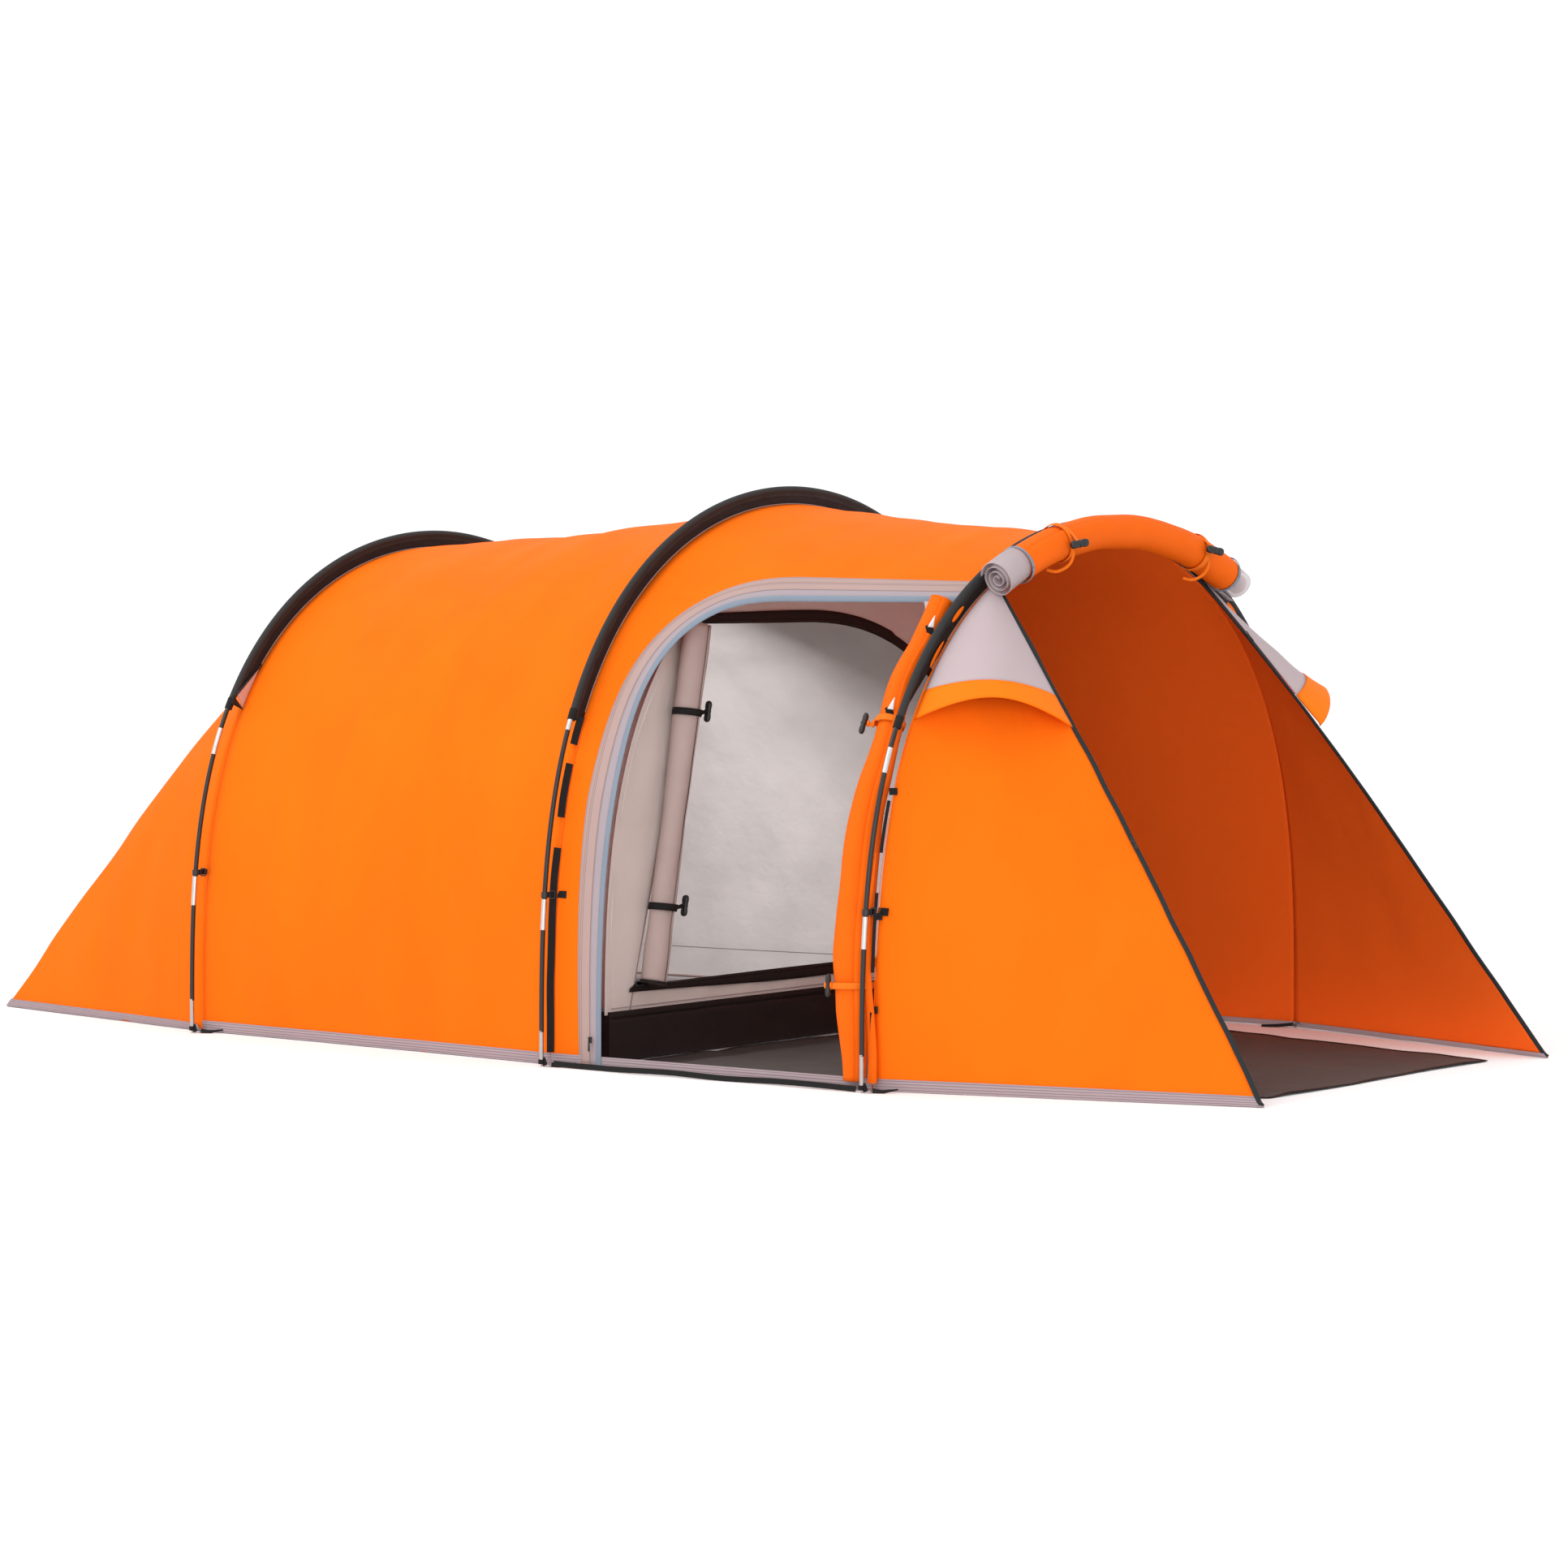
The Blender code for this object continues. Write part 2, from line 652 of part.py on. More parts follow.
# ---------------------------------------------------------------- assembly
for position, hoop in HOOPS.items():
    build_hoop(position, hoop)
    for side_name, side in SIDES.items():
        build_foot(position, hoop, side_name, side)
build_rear_end()
loft("fly_bedroom", tunnel_rows(HOOPS["rear"], HOOPS["mid"], BEDROOM_SAG), ORANGE)
build_porch()
for side_name, side in SIDES.items():
    build_wing(side_name, side)
    build_vent_hood(side_name, side)
    build_ground_strap(side_name, side)
build_tub()
build_bedroom()
build_inner_front()
build_groundsheet()
build_rolls()
build_ties()
build_zips()
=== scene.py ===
import json
import math
from collections import namedtuple

import bmesh
import bpy
import numpy as np
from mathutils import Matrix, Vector, noise


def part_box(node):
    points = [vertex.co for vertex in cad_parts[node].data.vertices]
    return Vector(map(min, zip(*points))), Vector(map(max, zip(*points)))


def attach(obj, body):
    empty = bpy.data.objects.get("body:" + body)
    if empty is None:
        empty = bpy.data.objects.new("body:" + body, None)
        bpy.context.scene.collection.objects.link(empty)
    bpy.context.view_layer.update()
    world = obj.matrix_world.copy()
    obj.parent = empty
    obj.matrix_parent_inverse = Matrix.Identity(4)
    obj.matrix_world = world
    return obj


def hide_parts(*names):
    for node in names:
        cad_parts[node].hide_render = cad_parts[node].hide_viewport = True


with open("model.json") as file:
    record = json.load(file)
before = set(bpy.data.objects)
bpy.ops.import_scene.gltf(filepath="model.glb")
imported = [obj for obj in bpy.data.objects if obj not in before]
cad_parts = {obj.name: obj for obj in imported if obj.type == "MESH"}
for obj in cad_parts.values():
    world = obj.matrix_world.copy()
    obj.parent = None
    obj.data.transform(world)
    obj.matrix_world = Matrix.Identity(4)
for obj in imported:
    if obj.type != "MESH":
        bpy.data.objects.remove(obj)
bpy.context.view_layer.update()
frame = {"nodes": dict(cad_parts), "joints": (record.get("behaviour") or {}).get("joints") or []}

# ---------------------------------------------------------------- the frame's own dimensions, in metres
POLE_R, POLE_INSET, CANOPY_INSET = 0.0055, 0.007, 0.050
SLEEVE_END_Z, CLIP_Z, FOOT_TUBE_TOP = 0.927, 0.452, 0.095
BEDROOM_SAG, PORCH_SAG, EDGE_BOW = 0.016, 0.012, 0.016
HEM_Z, HEM_TALL = 0.0015, 0.030
DOOR_LEFT, DOOR_TOP, DOOR_ACROSS, DOOR_UP, DOOR_POWER = 0.322, 1.230, 0.340, 0.420, 3.4
INNER_INSET, TUB_TALL = 0.140, 0.130
FLY_CLOTH, INNER_CLOTH = 0.0012, 0.0010  # how thick the cloth is drawn
AWNING_DROP = 0.42  # how far the rolled awning falls, for each square metre off its middle

Hoop = namedtuple("Hoop", "x half_width height")


def corner(node, *direction):
    """The CAD node's point that lies furthest in a direction."""
    spots = np.array([v.co for v in frame["nodes"][node].data.vertices])
    return spots[np.argmax(spots @ np.array(direction, float))]


def hoop_of(position):
    low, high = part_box(f"pole_{position}")
    proud = POLE_INSET - POLE_R
    return Hoop((low.x + high.x) / 2, high.y + proud, high.z + proud)


HOOPS = {position: hoop_of(position) for position in ("rear", "mid", "front")}
REAR, MID, FRONT = HOOPS.values()
SIDES = {"near": -1, "far": 1}
HEM_REAR = corner("fly_rear", -1, 0.5, -1)
WING_TIP = corner("fly_wing_far", 1, 0, -1)
EDGE_TOP = corner("fly_wing_far", 1, -1, 10)
INNER_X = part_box("inner_front_wall")[1].x - 0.001
TUB_REAR = corner("tub_floor", -1, 0.3, 0)
AWNING_LOW, AWNING_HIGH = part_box("awning_roll")
JOINTS = {joint["child"]: joint for joint in frame["joints"]}


# ---------------------------------------------------------------- shapes as arrays of points
def unit(vectors):
    return vectors / np.maximum(np.linalg.norm(vectors, axis=-1, keepdims=True), 1e-12)


def mix(a, b, share):
    return a + (b - a) * share


def arch(x, half_width, height, s):
    """Points of y^2/w^2 + z^3/h^3 = 1: s = 0 at the near foot, 0.5 at the top, 1 at the far foot."""
    angle = math.pi / 2 * (1 - np.abs(1 - 2 * s)) ** 1.5
    y = np.copysign(half_width * np.cos(angle), 2 * s - 1)
    z = height * np.clip(np.sin(angle), 0, None) ** (2 / 3)
    return np.stack(np.broadcast_arrays(x, y, z), axis=-1)


def s_at(height, z):
    """The near-side arch parameter where an arch of this height reaches z."""
    return (np.arcsin((z / height) ** 1.5) / (math.pi / 2)) ** (2 / 3) / 2


def on_hoop(hoop, inset, s, dx=0.0):
    return arch(hoop.x + dx, hoop.half_width - inset, hoop.height - inset, np.asarray(s, float))


def at_height(hoop, inset, z, side, dx=0.0):
    s = s_at(hoop.height - inset, np.asarray(z, float))
    return on_hoop(hoop, inset, s if side < 0 else 1 - s, dx)


def section(back, front, sag, u):
    """(x, half width, height) of the canopy at a share u of the way between two hoops."""
    slack = 4 * u * (1 - u)
    half_width = mix(back.half_width, front.half_width, u) - CANOPY_INSET - slack * sag * 0.4
    height = mix(back.height, front.height, u) - CANOPY_INSET - slack * sag
    return mix(back.x, front.x, u), half_width, height


def outward(points, centre):
    """Normals of a grid of points, turned away from the centre."""
    found = unit(np.cross(np.gradient(points, axis=0), np.gradient(points, axis=1)))
    return found * np.sign(((points - centre) * found).sum(-1).sum())


def wobble(points, amount, size, seed):
    """A smooth random height for each point; size is how far apart folds are along x, y and z."""
    spots = points.reshape(-1, 3) / np.array(size, float) + seed * 7.31
    heights = np.array([noise.noise(Vector(spot)) for spot in spots])
    return amount * heights.reshape(points.shape[:-1])[..., None]


def circle(radius, count, flat=1.0, power=1.0):
    turn = np.linspace(0, math.tau, count, endpoint=False)
    across, up = np.cos(turn), np.sin(turn)
    across, up = (np.sign(value) * np.abs(value) ** power for value in (across, up))
    return np.stack([radius * across, radius * flat * up], axis=1)


def spiral(inner, outer, turns, count, start=0.0):
    share = np.linspace(0, 1, count)
    turn, reach = start + math.tau * turns * share, mix(inner, outer, share)
    return np.stack([reach * np.cos(turn), reach * np.sin(turn)], axis=1)


# ---------------------------------------------------------------- meshes
def build(name, points, surfaces, slot, body="root", ring=False, caps=False, keep=None,
          thickness=0.0, inner=False, centre=None, slots=None, replaces=(), sharp=60):
    """A piece through rows of points, with UVs in metres. ring joins each row's end to its start."""
    points = np.asarray(points, float)
    rows, columns = points.shape[:2]
    index = np.arange(rows * columns).reshape(rows, columns)
    if ring:
        index = np.concatenate([index, index[:, :1]], axis=1)
    spread = points.reshape(-1, 3)[index]
    u = np.cumsum(np.linalg.norm(np.diff(spread, axis=1, prepend=spread[:, :1]), axis=2), axis=1)
    v = np.cumsum(np.linalg.norm(np.diff(spread, axis=0, prepend=spread[:1]), axis=2), axis=0)

    def quads(grid):
        return np.stack([grid[:-1, :-1], grid[:-1, 1:], grid[1:, 1:], grid[1:, :-1]], axis=2)

    kept = np.ones((rows - 1, index.shape[1] - 1), bool) if keep is None else keep
    faces, uvs = quads(index)[kept], quads(np.stack([u, v], axis=-1))[kept]
    if centre is not None:
        a, b, c, d = (points.reshape(-1, 3)[faces[:, k]] for k in range(4))
        if (np.cross(c - a, d - b) * (a - np.array(centre))).sum() < 0:
            faces, uvs = faces[:, ::-1], uvs[:, ::-1]
    used = np.unique(faces)
    renumber = np.zeros(rows * columns, int)
    renumber[used] = np.arange(len(used))
    polygons = renumber[faces].tolist()
    if caps:
        polygons += [renumber[index[0, :columns]].tolist(), renumber[index[-1, :columns]].tolist()[::-1]]
    mesh = bpy.data.meshes.new(name)
    mesh.from_pydata(points.reshape(-1, 3)[used].tolist(), [], polygons)
    layer = mesh.uv_layers.new(name="UVMap")
    flat = np.zeros((len(mesh.loops), 2))
    flat[: faces.size] = uvs.reshape(-1, 2)
    layer.data.foreach_set("uv", flat.ravel())
    for surface in surfaces:
        mesh.materials.append(surface)
    if slots is not None:
        chosen = np.zeros(len(polygons), int)
        chosen[: len(faces)] = slots[kept]
        mesh.polygons.foreach_set("material_index", chosen)
    bm = bmesh.new()
    bm.from_mesh(mesh)
    if caps or ring:
        bmesh.ops.recalc_face_normals(bm, faces=bm.faces)
    bm.to_mesh(mesh)
    bm.free()
    mesh.shade_smooth()
    mesh.set_sharp_from_angle(angle=math.radians(sharp))
    piece = bpy.data.objects.new(name, mesh)
    bpy.context.scene.collection.objects.link(piece)
    if thickness:
        modifier = piece.modifiers.new("thickness", "SOLIDIFY")
        modifier.thickness = thickness
        modifier.offset = -1.0 if centre is not None else 0.0
        modifier.material_offset = int(inner)
    piece["cut"] = [float(v.max()), float(u.max())]
    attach(piece, body)
    if replaces:
        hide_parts(*replaces)
    return piece


def sweep(name, path, profile, up, surfaces, slot, ring=True, caps=True, **options):
    """A profile of (sideways, up) pairs, or one profile for each point, carried along a path."""
    path = np.asarray(path, float)
    ahead = unit(np.gradient(path, axis=0))
    up = np.broadcast_to(np.asarray(up, float), path.shape)
    lift = unit(up - ahead * (up * ahead).sum(-1, keepdims=True))
    side = np.cross(ahead, lift)
    profile = np.asarray(profile, float)
    if profile.ndim == 2:
        profile = np.broadcast_to(profile, (len(path), *profile.shape))
    points = path[:, None] + profile[..., :1] * side[:, None] + profile[..., 1:] * lift[:, None]
    return build(name, points, surfaces, slot, ring=ring, caps=caps and ring, **options)


def tape(name, path, out, width, surfaces, slot, thickness=0.0014, **options):
    """A flat strip of webbing along a path, lying square to out."""
    half, deep = width / 2, thickness / 2
    profile = [(-half, -deep), (-half * 0.94, deep), (half * 0.94, deep), (half, -deep)]
    return sweep(name, path, profile, out, surfaces, slot, sharp=30, **options)


def line(*stops, count=12):
    """Evenly spaced points along straight runs between the stops."""
    stops = np.array(stops, float)
    at = np.linspace(0, len(stops) - 1, count)
    return np.stack([np.interp(at, range(len(stops)), stops[:, k]) for k in range(3)], axis=1)


def curve(*stops, count=24):
    """Points on a smooth curve through the stops."""
    stops = np.array(stops, float)
    padded = np.concatenate([[2 * stops[0] - stops[1]], stops, [2 * stops[-1] - stops[-2]]])
    at = np.linspace(0, len(stops) - 1 - 1e-9, count)
    k, t = at.astype(int), (at % 1)[:, None]
    a, b, c, d = (padded[k + n] for n in range(4))
    return 0.5 * (2 * b + (c - a) * t + (2 * a - 5 * b + 4 * c - d) * t**2 + (3 * b - a - 3 * c + d) * t**3)


# ---------------------------------------------------------------- materials
def rgb(red, green, blue):
    """A colour from sRGB values of 0 to 255."""
    values = [value / 255 for value in (red, green, blue)]
    return (*[c / 12.92 if c <= 0.04045 else ((c + 0.055) / 1.055) ** 2.4 for c in values], 1.0)


def tint(colour, amount):
    return (*[min(max(c * amount, 0.0), 1.0) for c in colour[:3]], 1.0)


class Surface:
    """A material built node by node on one Principled shader."""

    def __init__(self, name, roughness, metallic=0.0):
        self.material = bpy.data.materials.new(name)
        self.material.use_nodes = True
        self.tree = self.material.node_tree
        self.shader = self.tree.nodes["Principled BSDF"]
        self.shader.inputs["Roughness"].default_value = roughness
        self.shader.inputs["Metallic"].default_value = metallic
        coordinates = self.tree.nodes.new("ShaderNodeTexCoord")
        self.uv, self.place = coordinates.outputs["UV"], coordinates.outputs["Object"]
        self.bump = None

    def add(self, kind, *values, output=0, **settings):
        node = self.tree.nodes.new("ShaderNode" + kind)
        for key, value in settings.items():
            setattr(node, key, value)
        for socket, value in zip(node.inputs, values):
            if isinstance(value, bpy.types.NodeSocket):
                self.tree.links.new(value, socket)
            elif value is not None:
                socket.default_value = value
        return node.outputs[output]

    def math(self, operation, *values):
        return self.add("Math", *values, operation=operation)

    def stretched(self, where, scale):
        return self.add("VectorMath", where, scale, operation="MULTIPLY")

    def noise(self, where, size, detail=3.0, stretch=(1, 1, 1)):
        scaled = self.stretched(where, [k / size for k in stretch])
        return self.add("TexNoise", scaled, None, 1.0, detail)

    def blend(self, share, first, second):
        node = self.tree.nodes.new("ShaderNodeMix")
        node.data_type = "RGBA"
        for socket, value in ((node.inputs[0], share), (node.inputs[6], first), (node.inputs[7], second)):
            if isinstance(value, bpy.types.NodeSocket):
                self.tree.links.new(value, socket)
            else:
                socket.default_value = value
        return node.outputs[2]

    def colour(self, value):
        self.tree.links.new(value, self.shader.inputs["Base Color"])

    def roughness(self, share, low, high):
        value = self.add("MapRange", share, 0.3, 0.7, low, high)
        self.tree.links.new(value, self.shader.inputs["Roughness"])

    def height(self, value, distance):
        """Adds relief, distance metres deep where value goes from 0 to 1."""
        node = self.tree.nodes.new("ShaderNodeBump")
        node.inputs["Strength"].default_value = 1.0
        node.inputs["Distance"].default_value = distance
        self.tree.links.new(value, node.inputs["Height"])
        if self.bump:
            self.tree.links.new(self.bump, node.inputs["Normal"])
        self.bump = node.outputs[0]
        self.tree.links.new(self.bump, self.shader.inputs["Normal"])

    def threads(self, pitch):
        """A plain weave: two crossed waves of threads, pitch metres apart."""
        split = self.tree.nodes.new("ShaderNodeSeparateXYZ")
        self.tree.links.new(self.uv, split.inputs[0])
        waves = []
        for axis, phase in (("X", 0.0), ("Y", math.pi / 2)):
            turned = self.math("MULTIPLY", split.outputs[axis], math.tau / pitch)
            waves.append(self.math("SINE", self.math("ADD", turned, phase)))
        product = self.math("MULTIPLY", *waves)
        return self.math("MULTIPLY_ADD", product, 0.5, 0.5)

    def lines(self, axis, places, half_width):
        """1 on thin lines at these UV distances along an axis."""
        split = self.tree.nodes.new("ShaderNodeSeparateXYZ")
        self.tree.links.new(self.uv, split.inputs[0])
        found = None
        for place in places:
            away = self.math("ABSOLUTE", self.math("SUBTRACT", split.outputs[axis], place))
            one = self.math("LESS_THAN", away, half_width)
            found = one if found is None else self.math("MAXIMUM", found, one)
        return found


def cloth(name, colour, roughness=0.55, mottle=0.03, mottle_size=0.5, weave=0.0016, weave_deep=0.00012,
          crease=0.0, crease_size=0.12, crease_stretch=(1, 1, 1), gloss=0.12, stitches=None, thread=None,
          alpha=1.0, painted_fold_shade=0.0):
    """Woven cloth: soft colour variation, a weave, creases, if asked for stitched lines, and if asked for
    painted shade of soft folds as darker vertical streaks.
    """
    made = Surface(name, roughness)
    soft = made.noise(made.place, mottle_size, 3.0)
    tone = made.blend(soft, tint(colour, 1 - 2 * mottle), tint(colour, 1 + 2 * mottle))
    if painted_fold_shade:
        # Painted shade: darker, vertically stretched streaks stand in for the shading of soft folds in the
        # cloth.
        fold_shade_bands = made.noise(made.place, 0.16, 3.0, (1, 1, 0.22))
        tone = made.blend(made.add("MapRange", fold_shade_bands, 0.35, 0.65, 0.0, painted_fold_shade), tone, tint(colour, 0.6))
    threads = made.threads(weave)
    fine = made.noise(made.uv, weave * 2.5, 2.0)
    tone = made.blend(made.math("MULTIPLY", fine, 0.10), tone, tint(colour, 0.80))
    if stitches:
        found = made.lines(*stitches)
        tone = made.blend(made.math("MULTIPLY", found, 0.75), tone, thread or tint(colour, 0.55))
        made.height(found, -0.0006)
    made.colour(tone)
    made.roughness(fine, roughness - 0.06, roughness + 0.06)
    if crease:
        folds = made.noise(made.place, crease_size, 4.0, crease_stretch)
        made.height(folds, crease)
    made.height(threads, weave_deep)
    made.shader.inputs["Specular IOR Level"].default_value = gloss
    if alpha < 1:
        made.shader.inputs["Alpha"].default_value = alpha
    return made.material


def webbing(name, colour, pitch=0.0022):
    """Narrow woven tape: ribs across it and a little lint."""
    made = Surface(name, 0.72)
    ribs = made.math("MULTIPLY_ADD", made.threads(pitch), 0.6, 0.2)
    lint = made.noise(made.place, 0.012, 3.0)
    tone = made.blend(ribs, tint(colour, 0.7), tint(colour, 1.35))
    made.colour(made.blend(made.math("MULTIPLY", lint, 0.35), tone, tint(colour, 1.9)))
    made.roughness(lint, 0.62, 0.82)
    made.height(ribs, 0.0003)
    made.shader.inputs["Specular IOR Level"].default_value = 0.15
    return made.material


def hard(name, colour, roughness, metallic=0.0, wear=1.25, grain=0.02, deep=0.00008):
    """Moulded plastic or drawn metal: a fine grain, scuffs and uneven polish."""
    made = Surface(name, roughness, metallic)
    scuff = made.noise(made.place, grain, 5.0)
    made.colour(made.blend(scuff, tint(colour, 0.9), tint(colour, wear)))
    made.roughness(scuff, max(roughness - 0.08, 0.05), roughness + 0.14)
    made.height(made.noise(made.place, grain / 12, 2.0), deep)
    return made.material


ORANGE = rgb(246, 109, 15)
M = {
    # The orange fly also gets painted shade of soft folds, as darker vertical streaks in its colour.
    "orange": cloth("orange_polyester", ORANGE, 0.6, 0.04, 0.5, crease=0.006, crease_size=0.16,
                    crease_stretch=(1, 1, 0.4), gloss=0.03, painted_fold_shade=0.16),
    # The fly's inside face: a redder orange than its outside, painted light that stands in for light
    # shining through the cloth.
    "orange_inside": cloth("orange_inside_painted_translucency", rgb(255, 103, 29), 0.7, 0.04, 0.7, crease=0.003,
                           crease_size=0.2, gloss=0.05),
    "orange_roll": cloth("orange_rolled", rgb(236, 100, 14), 0.58, 0.05, 0.2, crease=0.004,
                         crease_size=0.06, crease_stretch=(1, 1, 0.3), gloss=0.05),
    "orange_brim": cloth("orange_brim", rgb(252, 120, 20), 0.58, 0.03, 0.2, crease=0.002,
                         crease_size=0.08, gloss=0.05),
    "sleeve": cloth("sleeve_web", rgb(42, 32, 30), 0.62, 0.06, 0.12, crease=0.003, crease_size=0.03),
    # The part of the sleeve round the pole: a lighter, cooler grey than its web, a painted highlight on the
    # rounded edge.
    "sleeve_rim_highlight": cloth("sleeve_rim_highlight", rgb(50, 50, 50), 0.55, 0.06, 0.10, crease=0.001, crease_size=0.02),
    "pale": cloth("pale_hood", rgb(182, 165, 168), 0.58, 0.02, 0.3, crease=0.002, crease_size=0.1,
                  gloss=0.06),
    "film": cloth("clear_film", rgb(204, 189, 192), 0.3, 0.02, 0.1, alpha=0.5),
    "trim_pink": cloth("door_trim_pink", rgb(172, 146, 141), 0.6, 0.03, 0.2,
                       stitches=("X", [0.004, 0.030, 0.036], 0.0008), gloss=0.05),
    "trim_grey": cloth("door_trim_grey", rgb(160, 148, 153), 0.6, 0.02, 0.2, gloss=0.05),
    "pink_fold": cloth("pink_fold", rgb(204, 150, 132), 0.6, 0.02, 0.2, gloss=0.05),
    "piping": cloth("blue_piping", rgb(126, 137, 151), 0.45, 0.03, 0.1, gloss=0.06),
    "hem": cloth("hem_tape", rgb(166, 149, 153), 0.6, 0.03, 0.2, crease=0.002, crease_size=0.04,
                 stitches=("X", [0.0045, 0.0115, 0.0190, 0.0255], 0.0009), thread=rgb(128, 110, 116),
                 gloss=0.05),
    "inner": cloth("breathable_inner", rgb(228, 221, 219), 0.7, 0.09, 0.22, crease=0.008,
                   crease_size=0.16),
    "inner_wall": cloth("breathable_wall", rgb(209, 196, 190), 0.7, 0.03, 0.3, crease=0.003,
                        crease_size=0.1),
    "inner_roll": cloth("breathable_roll", rgb(182, 163, 158), 0.5, 0.05, 0.1, crease=0.003,
                        crease_size=0.05, crease_stretch=(1, 1, 0.2)),
    "tub": cloth("coated_floor", rgb(36, 30, 29), 0.5, 0.06, 0.25, crease=0.004, crease_size=0.1),
    "groundsheet": cloth("porch_sheet", rgb(78, 73, 70), 0.55, 0.07, 0.25, crease=0.004, crease_size=0.12),
    "webbing": webbing("black_webbing", rgb(27, 26, 26)),
    "webbing_orange": webbing("orange_webbing", rgb(236, 104, 18)),
    "zip_tape": cloth("zip_tape", rgb(44, 48, 50), 0.6, 0.05, 0.1, gloss=0.08),
    "pole": hard("fibreglass_pole", rgb(19, 19, 20), 0.34, grain=0.05),
    "ferrule": hard("alloy_ferrule", rgb(206, 206, 206), 0.34, 1.0, 1.0),
    "steel": hard("steel_wire", rgb(178, 180, 180), 0.30, 1.0, 1.05),
    "plastic": hard("black_plastic", rgb(24, 24, 25), 0.38, grain=0.01),
    "zip_metal": hard("zip_metal", rgb(52, 54, 56), 0.36, 0.8, grain=0.006),
}

# What a common piece is made of: its materials and its slot, in the order that build takes them.
FLY = [M["orange"], M["orange_inside"]], "fly_orange"
ROLLED = [M["orange_roll"], M["orange_inside"]], "fly_orange"
ORANGE_TAPE = [M["webbing_orange"]], "fly_orange"
WEBBING = [M["webbing"]], "webbing"
ZIP_TAPE = [M["zip_tape"]], "webbing"
ZIP_METAL = [M["zip_metal"]], "zip_metal"
PLASTIC = [M["plastic"]], "black_plastic"
STEEL = [M["steel"]], "steel"
PIPING = [M["piping"]], "hood_pale"
FLOOR = [M["tub"]], "floor_black"
INNER = [M["inner"]], "inner_fabric"
INNER_SEAM = [M["trim_pink"]], "inner_fabric"


# ---------------------------------------------------------------- hems
def hem(name, edge, above, out, tall=HEM_TALL, inside=0.5):
    """Folded tape round a panel's lower edge; edge and above are matching lines of points."""
    up, out = unit(above - edge), unit(out)
    wave = wobble(edge, 0.0034, (0.09, 0.09, 1), 3)
    profile = [(tall, 0.0022), (tall * 0.6, 0.0026), (tall * 0.25, 0.0024), (0.0, 0.0018), (0.0, -0.0034),
               (tall * 0.25, -0.0040), (tall * inside, -0.0036)]
    rows = [edge + up * rise + out * (proud + wave * (1 - rise / tall * 0.5)) for rise, proud in profile]
    return build(name, np.stack(rows, axis=1), [M["hem"]], "fly_orange", thickness=0.0006)


def clamp(points, low=HEM_Z):
    """Lifts every point that would lie below this height."""
    points[..., 2] = np.maximum(points[..., 2], low)
    return points


# ---------------------------------------------------------------- bedroom part of the fly
def build_bedroom_fly():
    u = np.linspace(0, 1, 46)[:, None]
    s = np.linspace(0, 1, 161)[None, :]
    points = arch(*section(REAR, MID, BEDROOM_SAG, u), s)
    out = outward(points, (-0.5, 0, 0.3))
    slack = np.clip(6.4 * u * (1 - u), 0, 1)[..., None]
    ground = np.clip(points[..., 2:] / 0.12, 0.25, 1)
    points = points + out * slack * ground * (
        wobble(points, 0.014, (0.26, 0.9, 0.9), 1) + wobble(points, 0.008, (0.11, 0.5, 0.5), 2)
        + wobble(points, 0.014, (0.45, 0.55, 0.7), 3)
    )
    points = clamp(points)
    fly = build("fly_bedroom_cloth", points, *FLY, thickness=FLY_CLOTH, inner=True,
                centre=(-0.5, 0, 0.3), replaces=["fly_bedroom"])
    hems = [
        hem("hem_bedroom_near", points[:, 0], points[:, 6], out[:, 0]),
        hem("hem_bedroom_far", points[:, -1], points[:, -7], out[:, -1]),
    ]


def build_rear_fly():
    height = REAR.height - CANOPY_INSET
    ridge = s_at(height, 1.04)
    s = np.unique(np.round(np.concatenate([np.linspace(0, 1, 161), [ridge, 1 - ridge]]), 6))
    top = on_hoop(REAR, CANOPY_INSET, s)
    foot = np.array([REAR.x, REAR.half_width - CANOPY_INSET, 0.0])
    back = np.array([HEM_REAR[0], HEM_REAR[1], 0.0])
    stops = np.array([0, ridge, 1 - ridge, 1])
    ends = np.array([foot * (1, -1, 1), back * (1, -1, 1), back, foot])
    low = np.stack([np.interp(s, stops, ends[:, k]) for k in range(3)], axis=1)
    share = np.linspace(0, 1, 44)[:, None, None]
    points = mix(top[None], low[None], share)
    out = outward(points, (REAR.x - 0.2, 0, 0.2))
    free = np.sin(math.pi * share)
    rise = np.clip(points[..., 2:] / 0.2, 0.15, 1)
    points = points + out * (
        0.014 * free * rise
        + np.clip(2.2 * free, 0, 1) * rise * (
            wobble(points, 0.010, (0.3, 0.25, 0.3), 5) + wobble(points, 0.006, (0.12, 0.12, 0.4), 6))
    )
    points = clamp(points)
    fly = build("fly_rear_cloth", points, *FLY, thickness=FLY_CLOTH, inner=True,
                centre=(REAR.x - 0.2, 0, 0.2), replaces=["fly_rear"])
    drop = points[-1] - points[-5]
    level = np.concatenate([points[-1, :, :2], np.full((len(s), 1), HEM_Z)], axis=1)
    strip = hem("hem_rear", level, level - drop, out[-3])


def triangle(name, a, b, c, surfaces, slot, thickness=0.0016):
    """A small folded corner of cloth, a little swollen in its middle."""
    a, b, c = (np.asarray(spot, float) for spot in (a, b, c))
    swell = unit(np.cross(b - a, c - a)) * 0.0015
    tip = mix((a + b) / 2, c, 0.96)
    rows = [[mix(mix(a, b, t), mix(tip, c, t), s) + swell * math.sin(math.pi * s) * math.sin(math.pi * t)
             for t in np.linspace(0, 1, 7)] for s in np.linspace(0, 1, 9)]
    return build(name, rows, surfaces, slot, thickness=thickness)


# ---------------------------------------------------------------- porch canopy with the side door
def door_left(z):
    """The side door's edge: x at each height."""
    share = np.clip((np.asarray(z, float) - (DOOR_TOP - DOOR_UP)) / DOOR_UP, 0, 1)
    return DOOR_LEFT + DOOR_ACROSS * (1 - (1 - share**DOOR_POWER) ** (1 / DOOR_POWER))


